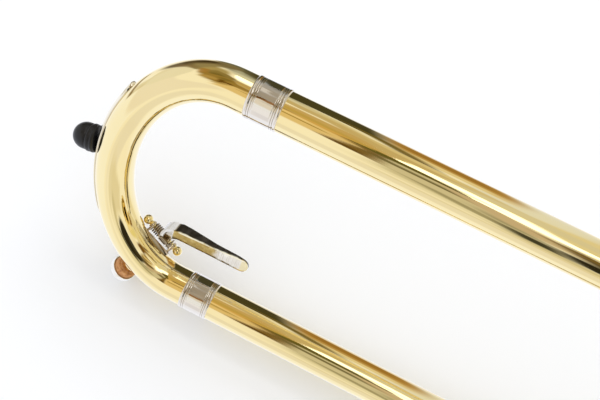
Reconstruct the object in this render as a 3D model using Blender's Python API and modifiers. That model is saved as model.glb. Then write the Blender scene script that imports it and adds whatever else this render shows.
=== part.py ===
# Tenor bass trombone with an F attachment, lying at rest.
#
# The instrument is drawn in its own frame, in millimetres: +X runs from the
# slide bow to the mouthpiece end, the lower slide tube lies on the X axis, the
# upper slide tube is SLIDE_W above it (+Z), and the bell is on the player's
# left (-Y), square to the plane of the slide. One empty then rolls the whole
# instrument into the way it lies on a flat surface.
import math

import bmesh
import bpy
from mathutils import Matrix, Vector

MM = 0.001

# ---------------------------------------------------------------- dimensions
SLIDE_W = 92.5        # centre to centre of the two slide tubes
TUBE_R = 7.4          # outer slide tube, outside
TUBE_RI = 6.9         # outer slide tube, inside
BOW_R = 7.3           # bow tube, outside
BOW_DEPTH = 36.6      # how far the bow's centre line reaches past the ferrules
FERRULE_X = (4.8, 16.9)
FERRULE_R = 7.85
OUTER_END = 640.0     # open end of the outer slide
INNER_START = 20.0    # front end of the inner slide tubes
STOCKING_END = 118.0
BARREL_X = (622.0, 672.0)
BARREL_R = 9.6
INNER_R = 6.25
STOCKING_R = 6.5
INNER_RI = 5.75

BELL_D = 170.0        # slide tube to bell axis
BELL_X = 396.0        # bell rim
BELL_R = 110.0
BELL_TAIL = 940.0
BELL_WALL = 0.6

ROTOR_X = 840.0
ROTOR_Y = -23.5
ROTOR_R = 17.0
CASING_R = 20.0
CASING_RI = 17.4
STUB = 25.0           # reach of the four port stubs from the rotor's axis

F_R = 7.4             # F tubing, outside
F_LEG_C = -47.0       # y of the leg that comes back to the valve
F_LEG_D = -76.9       # y of the leg that leaves the valve
F_LEG_E = -109.9      # y of the leg beyond the F tuning slide

MAIN_BOW_X = 1030.0   # centre of the main tuning crook
ROLL = math.radians(32.463)     # it lies on the bell rim, the water key and the lever screw
PITCH = math.radians(0.97)

# ---------------------------------------------------------------- scene reset
for ob in list(bpy.data.objects):
    bpy.data.objects.remove(ob, do_unlink=True)
HORN = bpy.data.collections.new("tenor_bass_trombone")
CUTS = bpy.data.collections.new("cutters")
bpy.context.scene.collection.children.link(HORN)
bpy.context.scene.collection.children.link(CUTS)


def empty(name, parent=None, at=(0, 0, 0)):
    ob = bpy.data.objects.new(name, None)
    HORN.objects.link(ob)
    ob.parent = parent
    ob.location = [c * MM for c in at]
    ob.empty_display_size = 0.02
    return ob


ROOT = empty("horn")


def joint(name, at):
    """An empty on a joint's axis. `at` is in the instrument's own frame."""
    ob = empty(name, ROOT, at)
    return ob


# ---------------------------------------------------------------- materials
def material(name, colour, metallic, rough):
    m = bpy.data.materials.new(name)
    m.use_nodes = True
    b = m.node_tree.nodes["Principled BSDF"]
    b.inputs["Base Color"].default_value = (*colour, 1)
    b.inputs["Metallic"].default_value = metallic
    b.inputs["Roughness"].default_value = rough
    m.diffuse_color = (*colour, 1)
    return m


BRASS = ((0.83, 0.64, 0.27), 1.0, 0.12)
NICKEL = ((0.72, 0.70, 0.67), 1.0, 0.15)
RUBBER = ((0.02, 0.02, 0.022), 0.0, 0.5)
CORK = ((0.62, 0.33, 0.14), 0.0, 0.85)
SILVER = ((0.86, 0.85, 0.83), 1.0, 0.10)


# ---------------------------------------------------------------- helpers
def frame(origin, z, x=None):
    """Matrix whose local Z is `z` and whose local X leans towards `x`."""
    z = Vector(z).normalized()
    x = Vector(x) if x is not None else (Vector((0, 0, 1)) if abs(z.z) < 0.9 else Vector((1, 0, 0)))
    y = z.cross(x).normalized()
    x = y.cross(z)
    m = Matrix((x, y, z)).transposed().to_4x4()
    m.translation = Vector(origin) * MM
    return m


def put(ob, m, parent=None, cut=False):
    parent = parent or ROOT
    (CUTS if cut else HORN).objects.link(ob)
    if cut:
        ob.hide_render = True
        ob.display_type = 'WIRE'
    ob.parent = parent
    off = Vector(parent.location) if parent is not ROOT else Vector()
    ob.matrix_basis = Matrix.Translation(-off) @ m
    return ob


def finish(ob, mat):
    ob.data.materials.clear()
    ob.data.materials.append(material(ob.name, *mat))
    if isinstance(ob.data, bpy.types.Mesh) and len(ob.data.polygons):
        ob.data.shade_smooth()
        ob.data.set_sharp_from_angle(angle=math.radians(40))
    return ob


def turned(name, profile, m, mat, parent=None, steps=24, closed=True, cut=False):
    """A turned shape. profile: (radius, height) in mm, down the outer side and
    back up the bore when it is closed, from axis to axis when it is not."""
    me = bpy.data.meshes.new(name)
    n = len(profile)
    edges = [(i, i + 1) for i in range(n - 1)] + ([(n - 1, 0)] if closed else [])
    me.from_pydata([(r * MM, 0, h * MM) for r, h in profile], edges, [])
    ob = bpy.data.objects.new(name, me)
    s = ob.modifiers.new("turn", 'SCREW')
    s.axis = 'Z'
    s.steps = steps
    s.render_steps = steps
    s.use_merge_vertices = True
    s.merge_threshold = 0.00001
    put(ob, m, parent, cut)
    solid = baked(ob)
    finish(solid, mat)
    return solid


def baked(ob):
    """The object with its modifiers turned into its mesh."""
    bpy.context.view_layer.update()
    deps = bpy.context.evaluated_depsgraph_get()
    me = bpy.data.meshes.new_from_object(ob.evaluated_get(deps))
    old = ob.name
    new = bpy.data.objects.new(old + "_m", me)
    coll = ob.users_collection[0]
    coll.objects.link(new)
    new.hide_render = ob.hide_render
    new.display_type = ob.display_type
    new.parent = ob.parent
    new.matrix_basis = ob.matrix_basis.copy()
    bpy.data.objects.remove(ob, do_unlink=True)
    new.name = old
    bm = bmesh.new()
    bm.from_mesh(me)
    bmesh.ops.remove_doubles(bm, verts=bm.verts, dist=0.000002)
    bmesh.ops.dissolve_degenerate(bm, edges=bm.edges, dist=0.000002)
    bm.to_mesh(me)
    bm.free()
    me.name = old
    return new


def ring(name, r0, r1, a, b, m, mat, parent=None, steps=24, cut=False):
    return turned(name, [(r1, b), (r1, a), (r0, a), (r0, b)], m, mat, parent, steps, cut=cut)


def rod(name, r, a, b, m, mat, parent=None, steps=16, cut=False):
    """A solid cylinder from a primitive, from height a to height b."""
    me = bpy.data.meshes.new(name)
    bm = bmesh.new()
    bmesh.ops.create_cone(bm, cap_ends=True, segments=steps, radius1=r * MM, radius2=r * MM, depth=(b - a) * MM)
    bmesh.ops.translate(bm, verts=bm.verts, vec=(0, 0, (a + b) / 2 * MM))
    bm.to_mesh(me)
    bm.free()
    ob = bpy.data.objects.new(name, me)
    put(ob, m, parent, cut)
    return finish(ob, mat)


def block(name, size, m, mat, parent=None, cut=False, bevel=0.0):
    me = bpy.data.meshes.new(name)
    bm = bmesh.new()
    bmesh.ops.create_cube(bm, size=1.0)
    bmesh.ops.scale(bm, vec=[s * MM for s in size], verts=bm.verts)
    bm.to_mesh(me)
    bm.free()
    ob = bpy.data.objects.new(name, me)
    put(ob, m, parent, cut)
    if bevel:
        b = ob.modifiers.new("soften", 'BEVEL')
        b.width = bevel * MM
        b.segments = 1
        ob = baked(ob)
    return finish(ob, mat)


def swept(name, pts, r, mat, parent=None, res=6, wall=0.0, radii=None, cut=False, cyclic=False):
    """A tube (wall > 0) or a rod along points, from a bevelled curve."""
    cu = bpy.data.curves.new(name, 'CURVE')
    cu.dimensions = '3D'
    cu.bevel_depth = r * MM
    cu.bevel_resolution = res
    cu.use_fill_caps = wall == 0.0
    cu.twist_mode = 'MINIMUM'
    sp = cu.splines.new('POLY')
    sp.points.add(len(pts) - 1)
    for i, p in enumerate(pts):
        sp.points[i].co = (p[0] * MM, p[1] * MM, p[2] * MM, 1)
        if radii:
            sp.points[i].radius = radii[i] / r
    sp.use_cyclic_u = cyclic
    ob = bpy.data.objects.new(name, cu)
    put(ob, Matrix.Identity(4), parent, cut)
    ob = baked(ob)
    if wall:
        s = ob.modifiers.new("wall", 'SOLIDIFY')
        s.thickness = wall * MM
        s.offset = -1
        s.use_even_offset = True
        ob = baked(ob)
    return finish(ob, mat)


def plate(name, outline, thick, m, mat, parent=None, cut=False):
    """A flat outline (x, y in mm) of a given thickness, centred on its plane."""
    cu = bpy.data.curves.new(name, 'CURVE')
    cu.dimensions = '2D'
    cu.fill_mode = 'BOTH'
    cu.extrude = thick / 2 * MM
    sp = cu.splines.new('POLY')
    sp.points.add(len(outline) - 1)
    for i, p in enumerate(outline):
        sp.points[i].co = (p[0] * MM, p[1] * MM, 0, 1)
    sp.use_cyclic_u = True
    ob = bpy.data.objects.new(name, cu)
    put(ob, m, parent, cut)
    ob = baked(ob)
    bm = bmesh.new()
    bm.from_mesh(ob.data)
    bmesh.ops.recalc_face_normals(bm, faces=bm.faces)
    bm.to_mesh(ob.data)
    bm.free()
    return finish(ob, mat)


def combine(ob, others, op='UNION', mat=None):
    for o in others:
        if o.name not in CUTS.objects:
            for c in list(o.users_collection):
                c.objects.unlink(o)
            CUTS.objects.link(o)
            o.hide_render = True
            o.display_type = 'WIRE'
            o.name = "tool_" + o.name
        b = ob.modifiers.new(op.lower(), 'BOOLEAN')
        b.operation = op
        b.solver = 'EXACT'
        b.object = o
    ob = baked(ob)
    for o in others:
        bpy.data.objects.remove(o, do_unlink=True)
    return finish(ob, mat) if mat else ob


def cut(ob, others, mat=None):
    return combine(ob, others, 'DIFFERENCE', mat)


def arc(c, r, a0, a1, n, u, v):
    """Points on an arc about c, from angle a0 to a1 in degrees, in plane u, v."""
    c, u, v = Vector(c), Vector(u).normalized(), Vector(v).normalized()
    out = []
    for i in range(n + 1):
        a = math.radians(a0 + (a1 - a0) * i / n)
        out.append(c + u * (r * math.cos(a)) + v * (r * math.sin(a)))
    return out


def bezier(p0, d0, p3, d3, n, k=0.4):
    """Points from p0 (heading d0) to p3 (heading d3)."""
    p0, p3 = Vector(p0), Vector(p3)
    s = (p3 - p0).length * k
    p1 = p0 + Vector(d0).normalized() * s
    p2 = p3 - Vector(d3).normalized() * s
    return [p0 * (1 - t) ** 3 + p1 * 3 * t * (1 - t) ** 2 + p2 * 3 * t * t * (1 - t) + p3 * t ** 3
            for t in [i / n for i in range(n + 1)]]


def along_x(x=0, y=0, z=0):
    return frame((x, y, z), (1, 0, 0), (0, 0, 1))


def along_z(x=0, y=0, z=0):
    return frame((x, y, z), (0, 0, 1), (1, 0, 0))


# ---------------------------------------------------------------- joint empties
HAND_SLIDE = joint("hand_slide_axis", (0, 0, 0))
LOWER, UPPER = 0.0, SLIDE_W


def bow_point(t, off=0.0, y=0.0):
    """A point on the bow; t = -90 at the upper end, 90 at the lower end."""
    a = math.radians(t)
    c = Vector((-BOW_DEPTH * math.cos(a), y, SLIDE_W / 2 - SLIDE_W / 2 * math.sin(a)))
    n = Vector((-math.cos(a) / BOW_DEPTH, 0, -math.sin(a) / (SLIDE_W / 2))).normalized()
    return c + n * off


def bow_normal(t):
    return (bow_point(t, 1.0) - bow_point(t)).normalized()


# ================================================================ OUTER SLIDE
F0, F1 = FERRULE_X
bow_path = [Vector((F0 - 0.3, 0, SLIDE_W)), Vector((2.0, 0, SLIDE_W))]
bow_path += [bow_point(-90 + 180 * i / 18) for i in range(19)]
bow_path += [Vector((2.0, 0, 0)), Vector((F0 - 0.3, 0, 0))]
slide_bow = swept("slide_bow", bow_path, BOW_R, BRASS, HAND_SLIDE, res=4, wall=0.5)

NIPPLE_T = 64.0
NIPPLE_SIDE = math.radians(5.0)
nip_n = (bow_normal(NIPPLE_T) * math.cos(NIPPLE_SIDE) + Vector((0, math.sin(NIPPLE_SIDE), 0))).normalized()
nip_c = bow_point(NIPPLE_T)
water_hole = rod("water_hole", 1.7, 4.0, 9.0, frame(nip_c, nip_n, (0, 1, 0)), BRASS, HAND_SLIDE, 12, cut=True)
slide_bow = cut(slide_bow, [water_hole], BRASS)

for side, z in (("lower", LOWER), ("upper", UPPER)):
    m = along_x(0, 0, z)
    r = FERRULE_R
    prof = [(r, F1), (r + 0.25, F1 - 1.5), (r + 0.25, F0 + 1.5), (r, F0), (TUBE_RI, F0), (TUBE_RI, F1)]
    turned("bow_ferrule_" + side, prof, m, NICKEL, HAND_SLIDE, 16)
    ring("outer_tube_" + side, TUBE_RI, TUBE_R, F1 + 0.3, OUTER_END, m, BRASS, HAND_SLIDE, 16)
    a, b = 574.0, OUTER_END
    sleeve = turned("outer_sleeve_" + side,
                    [(8.3, b), (8.3, a + 40), (8.6, a + 39), (8.6, a + 3), (8.2, a), (7.75, a), (7.75, b)],
                    m, NICKEL, HAND_SLIDE, 16)
    if side == "upper":
        # catch of the slide lock: a small hook that the lock ring turns over
        combine(sleeve, [block("catch", (7.0, 3.2, 2.4), frame((614.5, 9.4, z), (0, 1, 0), (1, 0, 0)), NICKEL,
                               HAND_SLIDE, bevel=0.5)], mat=NICKEL)

# bow guard: a strip round the outside of the bow, rounded in its plane
g_out = [bow_point(-36 + 72 * i / 18, BOW_R + 0.3 + (1.0 if 0 < i < 18 else 0.35)) for i in range(19)]
g_in = [bow_point(36 - 72 * i / 18, BOW_R + 0.3) for i in range(19)]
slide_frame = frame((0, 0, 0), (0, -1, 0), (1, 0, 0))   # local x = +X, local y = +Z
plate("bow_guard", [(p.x, p.z) for p in g_out + g_in], 5.6, slide_frame, NICKEL, HAND_SLIDE)

bump_dir = Vector((-0.975, 0, -0.13)).normalized()
bump_at = Vector((-BOW_DEPTH - BOW_R - 1.3, 0, SLIDE_W / 2 + 1.2))
bm_frame = frame(bump_at, bump_dir, (0, 0, 1))
turned("rubber_bumper",
       [(0, 9.8), (1.9, 9.4), (3.5, 8.4), (4.6, 6.9), (5.1, 5.1), (5.1, 3.7), (5.4, 3.2), (5.4, 0.9), (0, 0.9)],
       bm_frame, RUBBER, HAND_SLIDE, 20, closed=False)

# water key ------------------------------------------------------------------
nip_f = frame(nip_c, nip_n, (0, 1, 0))
ring("water_nipple", 1.7, 3.2, BOW_R + 0.3, BOW_R + 2.8, nip_f, BRASS, HAND_SLIDE, 16)

KEY_A = Vector((-20.75, 7.0, -28.85 + SLIDE_W / 2))    # head of the screw near the bow
KEY_B = Vector((-5.6, 7.0, -37.15 + SLIDE_W / 2))      # head of the screw near the ferrule
KEY_M = (KEY_A + KEY_B) / 2
key_d = (KEY_B - KEY_A).normalized()
KEY_L = (KEY_B - KEY_A).length
WATER_KEY = joint("water_key_axis", KEY_M)
tube_here = bow_point(58.0)
out_k = (KEY_M - tube_here)
out_k = (out_k - key_d * out_k.dot(key_d)).normalized()  # from the tube to the pivot
kf = frame(KEY_M, key_d, out_k)                           # local z along the pivot, x away from the tube

saddle = block("water_key_saddle", (2.4, 6.4, 13.0), kf @ Matrix.Translation((-4.1 * MM, 0, 0)), NICKEL, HAND_SLIDE)
lugs = [block("lug%d" % i, (6.2, 3.6, 1.3), kf @ Matrix.Translation((-1.2 * MM, 0, s * 5.85 * MM)), NICKEL, HAND_SLIDE,
              bevel=0.5) for i, s in enumerate((-1, 1))]
saddle = combine(saddle, lugs)
saddle = cut(saddle, [
    swept("bow_clear", [bow_point(t) for t in range(30, 94, 4)], BOW_R + 0.55, BRASS, HAND_SLIDE, 6, cut=True),
    rod("pivot_hole", 1.25, -9, 9, kf, BRASS, HAND_SLIDE, 16, cut=True)], NICKEL)

for nm, s in (("key_screw_front", -1), ("key_screw_rear", 1)):
    fz = frame(KEY_M, key_d * s, out_k)
    h = KEY_L / 2
    turned(nm, [(0, h + 2.0), (1.1, h + 1.7), (1.8, h + 0.8), (2.0, h), (1.8, h - 0.8), (1.1, h - 1.5), (0.9, h - 1.7),
                (0.9, 0.3), (0, 0.3)], fz, BRASS, HAND_SLIDE, 12, closed=False)

# double torsion spring: coil, bridge, coil
spring = []
for s, rev in ((-1, False), (1, True)):
    seg = []
    n = 16
    for i in range(n + 1):
        a = math.radians(200 + 630.0 * i / n)
        zz = -4.7 + 3.6 * i / n if s < 0 else 4.65 - 0.85 * i / n
        seg.append(kf @ Vector((1.75 * math.cos(a) * MM, 1.75 * math.sin(a) * MM, zz * MM)))
    spring.append(seg if not rev else seg[::-1])
s0, s1 = spring
bridge0 = kf @ Vector((-0.9 * MM, 3.7 * MM, -0.95 * MM))
bridge1 = kf @ Vector((-0.9 * MM, 3.7 * MM, 3.65 * MM))
sp_pts = [p / MM for p in s0 + [bridge0, bridge1] + s1]
swept("water_key_spring", sp_pts, 0.25, NICKEL, HAND_SLIDE, 1)

# lever: hub, finger strip with a tapering flange, arm round the far side, cup over the nipple
HUB0, HUB1 = -0.5, 3.3
hub_c = KEY_M + key_d * ((HUB0 + HUB1) / 2)
lever = rod("water_key_lever", 2.3, HUB0, HUB1, kf, NICKEL, WATER_KEY, 16)
STRIP_Y = 2.45                        # front face of the finger strip
strip = [(-8.3, 17.9), (-5.5, 18.8), (8.7, 18.8), (20.6, 18.7), (22.9, 19.0), (24.1, 20.5), (24.2, 22.3), (23.4, 23.8),
         (21.5, 24.4), (7.5, 23.2), (-1.2, 23.0), (-5.5, 22.7), (-8.3, 21.8)]
web = plate("finger_strip", strip, 1.1, frame((0, STRIP_Y + 0.55, 0), (0, -1, 0), (1, 0, 0)), NICKEL, WATER_KEY)
top_d = Vector((29.0, 0, 2.0)).normalized()
fl = frame((-7.0, STRIP_Y, 21.7), Vector((-top_d.z, 0, top_d.x)), top_d)     # local x along the strip's top edge
gus = plate("finger_flange", [(-1.6, 0.3), (27.5, 0.3), (27.5, 1.3), (0.4, 5.5), (-1.6, 5.5)], 1.2, fl, NICKEL, WATER_KEY)
curl = [(-8.4 + r * math.cos(a), 17.4 + r * math.sin(a)) for r, a in
        [(4.6, math.radians(88 + 92 * k / 6)) for k in range(7)] + [(3.4, math.radians(180 - 92 * k / 6)) for k in range(7)]]
roll_y = STRIP_Y + 0.15 + 2.65
flank = plate("lever_flank", curl, 5.3, frame((0, roll_y, 0), (0, -1, 0), (1, 0, 0)), NICKEL, WATER_KEY)
n0, n1 = Vector(hub_c), Vector((-8.6, 5.2, 20.6))
neck_b = block("lever_neck", (3.0, 3.2, (n1 - n0).length), frame((n0 + n1) / 2, n1 - n0, key_d), NICKEL, WATER_KEY, bevel=0.3)
arm_pts = []
for i, rr in enumerate((11.0, 12.0, 13.2, 14.4, 15.5, 16.3, 16.8, 16.9, 16.2)):
    k = i / 8
    ang = math.radians(42 + (175 - 42) * k)
    base = bow_point(58.0 + (NIPPLE_T - 58.0) * k)
    u = -bow_normal(58.0 + (NIPPLE_T - 58.0) * k)
    arm_pts.append(base + u * (rr * math.cos(ang)) + Vector((0, rr * math.sin(ang), 0)))
arm_pts[0] = hub_c + out_k * 0.2
arm = swept("cup_arm", arm_pts, 1.25, NICKEL, WATER_KEY, 2)
CUP0 = BOW_R + 2.8
cup = turned("key_cup", [(0, CUP0 + 7.0), (3.9, CUP0 + 6.9), (4.9, CUP0 + 6.2), (5.25, CUP0 + 5.1), (5.25, CUP0 + 3.2),
                         (4.95, CUP0 + 3.2), (4.95, CUP0 + 4.6), (0, CUP0 + 4.6)],
             nip_f, NICKEL, WATER_KEY, 16, closed=False)
lever = combine(lever, [neck_b, web, gus, flank, arm, cup])
lever = cut(lever, [rod("lever_bore", 1.25, -2.5, 6.0, kf, NICKEL, WATER_KEY, 16, cut=True)], NICKEL)
rod("water_key_cork", 4.65, CUP0 + 0.3, CUP0 + 4.3, nip_f, CORK, WATER_KEY, 20)

# hand brace of the outer slide, with its flanges ------------------------------
BR_X = 600.0


def brace(name, x, y0, z0, y1, z1, r0, r1, r=3.0, flare=5.5, steps=16, mat=NICKEL, parent=None):
    """A turned brace between two tubes, with a flange at each end."""
    a, b = Vector((x, y0, z0)), Vector((x, y1, z1))
    d = (b - a).normalized()
    length = (b - a).length
    lo, hi = r0 + 0.32, length - r1 - 0.32
    prof = [(0, hi), (flare, hi), (flare, hi - 1.2), (r + 0.8, hi - 2.6), (r, hi - 4.5), (r, lo + 4.5),
            (r + 0.8, lo + 2.6), (flare, lo + 1.2), (flare, lo), (0, lo)]
    return turned(name, prof, frame(a, d, (1, 0, 0)), mat, parent, steps, closed=False)


brace("outer_brace", BR_X, 0, 0, 0, SLIDE_W, 8.6, 8.6, 4.8, 8.0, 20, NICKEL, HAND_SLIDE)

# ================================================================ INNER SLIDE
for side, z in (("lower", LOWER), ("upper", UPPER)):
    m = along_x(0, 0, z)
    rear = 671.0
    turned("inner_tube_" + side,
           [(INNER_R, rear), (INNER_R, STOCKING_END + 1.5), (STOCKING_R, STOCKING_END), (STOCKING_R, INNER_START + 0.6),
            (STOCKING_R - 0.3, INNER_START), (INNER_RI, INNER_START), (INNER_RI, rear)],
           m, NICKEL, None, 16)
    b0, b1 = BARREL_X
    turned("cork_barrel_" + side,
           [(8.8, b1), (9.3, b1 - 1.0), (BARREL_R, b1 - 3), (BARREL_R, b0 + 15.5), (BARREL_R - 0.5, b0 + 14.5),
            (BARREL_R - 0.5, b0), (8.75, b0), (8.75, b1 - 6), (6.65, b1 - 6), (6.65, b1)],
           m, NICKEL, None, 16)
    ring("barrel_cork_" + side, 6.65, 8.3, OUTER_END + 0.8, OUTER_END + 16, m, CORK, None, 16)

# slide-lock ring round the front of the upper barrel
LOCK = joint("slide_lock_axis", (630, 0, UPPER))
lock = ring("slide_lock_ring", 9.6, 11.6, 623.0, 634.5, along_x(0, 0, UPPER), NICKEL, LOCK, 24)
tab = block("lock_tab", (8.0, 5.0, 2.4), frame((628.5, 0, UPPER + 13.6), (0, 1, 0), (1, 0, 0)), NICKEL, LOCK, bevel=0.6)
diag = Vector((0, math.sin(math.radians(43)), math.cos(math.radians(43))))
bar = block("lock_bar", (17.5, 2.4, 1.6), frame(Vector((616.25, 0, UPPER)) + diag * 11.8, diag, (1, 0, 0)), NICKEL, LOCK)
lip = block("lock_lip", (2.7, 2.4, 3.5), frame(Vector((608.85, 0, UPPER)) + diag * 10.85, diag, (1, 0, 0)), NICKEL, LOCK)
lock = combine(lock, [tab, bar, lip], mat=NICKEL)

# leadpipe, mouthpiece receiver, tenon
ring("leadpipe", 4.8, 5.3, 540, 756, along_x(0, 0, UPPER), BRASS, None, 16)
turned("mouthpiece_receiver",
       [(8.0, 778), (9.4, 776.5), (9.4, 771), (8.6, 769.5), (8.6, 712), (9.2, 710), (9.2, 676), (8.9, 672.3),
        (5.65, 672.3), (5.65, 756.5), (6.1, 758), (7.1, 778)],
       along_x(0, 0, UPPER), NICKEL, None, 20)
turned("slide_tenon",
       [(9.4, 752), (9.7, 748), (9.7, 729), (11.5, 729), (11.5, 726), (9.7, 726), (9.7, 712), (9.2, 710), (9.2, 676),
        (8.9, 672.3), (6.0, 672.3), (6.5, 752)],
       along_x(), NICKEL, None, 18)
brace("inner_brace", 693.0, 0, 0, 0, SLIDE_W, 9.2, 9.2, 4.6, 7.5, 20, NICKEL)

# mouthpiece
MOUTH = joint("mouthpiece_axis", (800, 0, UPPER))
turned("mouthpiece",
       [(12.9, 843.6), (15.5, 844.2), (18.2, 843.0), (19.5, 840.2), (19.3, 837.0), (17.6, 833), (15.2, 824), (12.4, 816),
        (8.6, 809.5), (6.9, 803), (7.6, 800), (7.6, 797), (6.6, 794), (6.6, 779.5), (5.6, 760.5), (4.9, 760),
        (3.6, 792), (3.4, 806), (4.6, 811), (9.0, 820), (11.6, 832)],
       along_x(0, 0, UPPER), SILVER, MOUTH, 18)

# lock nut, captive on the tenon behind its shoulder
NUT = joint("lock_nut_axis", (733, 0, 0))
turned("lock_nut",
       [(13.4, 743), (14.2, 742), (14.2, 739.5), (13.6, 738.6), (13.6, 729), (14.2, 728), (14.2, 723), (13.4, 722),
        (10.15, 722), (10.15, 725.6), (12.15, 725.6), (12.15, 743)],
       along_x(), BRASS, NUT, 20)

# ================================================================ BELL SECTION
BELLS = joint("bell_angle_axis", (750, 0, 0))
turned("bell_receiver",
       [(9.0, 774), (10.8, 772), (12.6, 770), (12.6, 748), (11.7, 746.5), (11.7, 729.4), (10.15, 729.4), (10.15, 754),
        (7.0, 756), (7.0, 774)],
       along_x(), NICKEL, BELLS, 20)

PORTS = {"A": 135, "B": 45, "C": -45, "D": -135}


def port_dir(key):
    a = math.radians(PORTS[key])
    return Vector((math.cos(a), math.sin(a), 0))


RC = Vector((ROTOR_X, ROTOR_Y, 0))
casing = rod("rotor_casing", CASING_R, -18.0, 18.0, along_z(ROTOR_X, ROTOR_Y), BRASS, BELLS, 32)
stubs, bores = [], []
for k in PORTS:
    fr = frame(RC, port_dir(k), (0, 0, 1))
    stubs.append(rod("stub" + k, 7.7, 15.0, STUB, fr, BRASS, BELLS, 16))
    bores.append(rod("stub_bore" + k, 6.3, 10.0, STUB + 5, fr, BRASS, BELLS, 16, cut=True))
casing = combine(casing, stubs + [rod("stop_plate", 15.0, -20.2, -17.0, along_z(ROTOR_X, ROTOR_Y), BRASS, BELLS, 24)])
casing = cut(casing, bores + [
    rod("casing_bore", CASING_RI, -15.2, 25.0, along_z(ROTOR_X, ROTOR_Y), BRASS, BELLS, 32, cut=True),
    rod("casing_spindle", 3.45, -30.0, 0.0, along_z(ROTOR_X, ROTOR_Y), BRASS, BELLS, 16, cut=True)], BRASS)
ring("rotor_bearing_plate", 3.45, 17.0, 15.6, 18.0, along_z(ROTOR_X, ROTOR_Y), BRASS, BELLS, 32)
turned("rotor_cap", [(0, 23.6), (6, 23.5), (14, 22.7), (17.6, 21.6), (18.4, 20.6), (18.4, 18.35), (16.5, 18.35),
                     (16.5, 20.2), (0, 20.2)], along_z(ROTOR_X, ROTOR_Y), NICKEL, BELLS, 24, closed=False)
for nm, a in (("stop_cork_rest", 161.5), ("stop_cork_thrown", 18.5)):
    aa = math.radians(a)
    rod(nm, 2.3, -25.0, -20.5, along_z(ROTOR_X + 11.0 * math.cos(aa), ROTOR_Y + 11.0 * math.sin(aa)), RUBBER, BELLS, 12)

RES_F = 2


def at_port(key, reach):
    return RC + port_dir(key) * reach


neck = [Vector((774.5, 0, 0))] + bezier((778, 0, 0), (1, 0, 0), at_port("A", STUB + 2.3), -port_dir("A"), 7, 0.36)
neck.append(at_port("A", STUB + 0.35))
swept("neckpipe", neck, F_R, BRASS, BELLS, RES_F, wall=0.7)
goose = [at_port("B", STUB + 0.35)] + bezier(at_port("B", STUB + 2.3), port_dir("B"), (882, 0, 0), (1, 0, 0), 7, 0.36)
goose += [Vector((930, 0, 0)), Vector((944.5, 0, 0))]
swept("gooseneck", goose, 7.7, BRASS, BELLS, RES_F, wall=0.6,
      radii=[7.4 + 0.9 * i / (len(goose) - 1) for i in range(len(goose))])
ring("tuning_sleeve_valve_side", 8.35, 9.0, 944.8, 1020.0, along_x(), NICKEL, BELLS, 16)
ring("tuning_sleeve_bell_side", 10.35, 11.1, BELL_TAIL + 0.4, 1020.0, along_x(0, -BELL_D, 0), NICKEL, BELLS, 20)


def bell_radius(d):
    return BELL_R * (1 + d / 33.4) ** -0.8


bell_d = [2.4, 6, 12, 21, 35, 56, 88, 135, 205, 310, BELL_TAIL - BELL_X]


def bell_normal(d):
    e = 0.5
    dr = (bell_radius(d + e) - bell_radius(d - e)) / (2 * e)
    ln = math.hypot(1, dr)
    return (1 / ln, -dr / ln)      # outward (radial, along)


outer, inner = [], []
for d in bell_d:
    r = bell_radius(d)
    nr, nd = bell_normal(d)
    outer.append((r, d))
    if d == bell_d[-1]:
        inner.append((r - BELL_WALL, d))
    else:
        inner.append((r - nr * BELL_WALL, d - nd * BELL_WALL))
edge = [(109.2, 2.6), (110.0, 1.9), (110.0, 0.5), (109.5, 0.0), (107.7, 0.0)]
bell_profile = outer[::-1] + edge + [p for p in inner]
bell_profile = [p for p in bell_profile]
turned("bell", bell_profile, along_x(BELL_X, -BELL_D, 0), BRASS, BELLS, 32)

brace("bell_brace", 760.0, 0, 0, -BELL_D, 0, 12.6, bell_radius(753.5 - BELL_X) + 0.6, 3.2, 6.2, 12, NICKEL, BELLS)

# F attachment ---------------------------------------------------------------
p_d = at_port("D", STUB + 2.3)
cd = p_d + Vector((math.cos(math.radians(-45)), math.sin(math.radians(-45)), 0)) * 20.0
leg_d_y = cd.y - 20.0
entry = [at_port("D", STUB + 0.35)] + arc(cd, 20.0, 135, 270, 9, (1, 0, 0), (0, 1, 0))
entry += [Vector((855, F_LEG_D, 0)), Vector((869.7, F_LEG_D, 0))]
swept("f_entry_tube", entry, F_R, BRASS, BELLS, RES_F, wall=0.7)
ring("f_slide_sleeve_inner", 7.6, 8.3, 870.0, 944.0, along_x(0, F_LEG_D, 0), NICKEL, BELLS, 16)
ring("f_slide_sleeve_outer", 7.6, 8.3, 870.0, 944.0, along_x(0, F_LEG_E, 0), NICKEL, BELLS, 16)

# crossover: forward beside the bell, over the valve tubing, back and into the valve
Z_HI = 30.0
Y_HI = -58.0
c1a, c1b = Vector((800, F_LEG_E, 0)), Vector((800, Y_HI, Z_HI))
cc = (c1a + c1b) / 2
uu = (c1a - c1b).normalized()
cross = [Vector((869.7, F_LEG_E, 0))]
cross += arc(cc, (c1a - c1b).length / 2, 0, 180, 11, uu, (-1, 0, 0))
split_x = 905.0
cross += [Vector((split_x, Y_HI, Z_HI))]
swept("f_crossover_front", cross, F_R, BRASS, BELLS, RES_F, wall=0.7)
c2a, c2b = Vector((1008, Y_HI, Z_HI)), Vector((1008, F_LEG_C, 0))
c2 = (c2a + c2b) / 2
u2 = (c2a - c2b).normalized()
back = [Vector((split_x + 0.3, Y_HI, Z_HI))]
back += arc(c2, (c2a - c2b).length / 2, 0, 180, 9, u2, (1, 0, 0))
back += bezier((886, F_LEG_C, 0), (-1, 0, 0), at_port("C", STUB + 2.3), -port_dir("C"), 6, 0.36)
back.append(at_port("C", STUB + 0.35))
swept("f_crossover_rear", back, F_R, BRASS, BELLS, RES_F, wall=0.7)
brace("f_brace_valve_side", 925.0, 0, 0, F_LEG_C, 0, 8.3, F_R, 2.2, 4.2, 12, NICKEL, BELLS)
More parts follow.
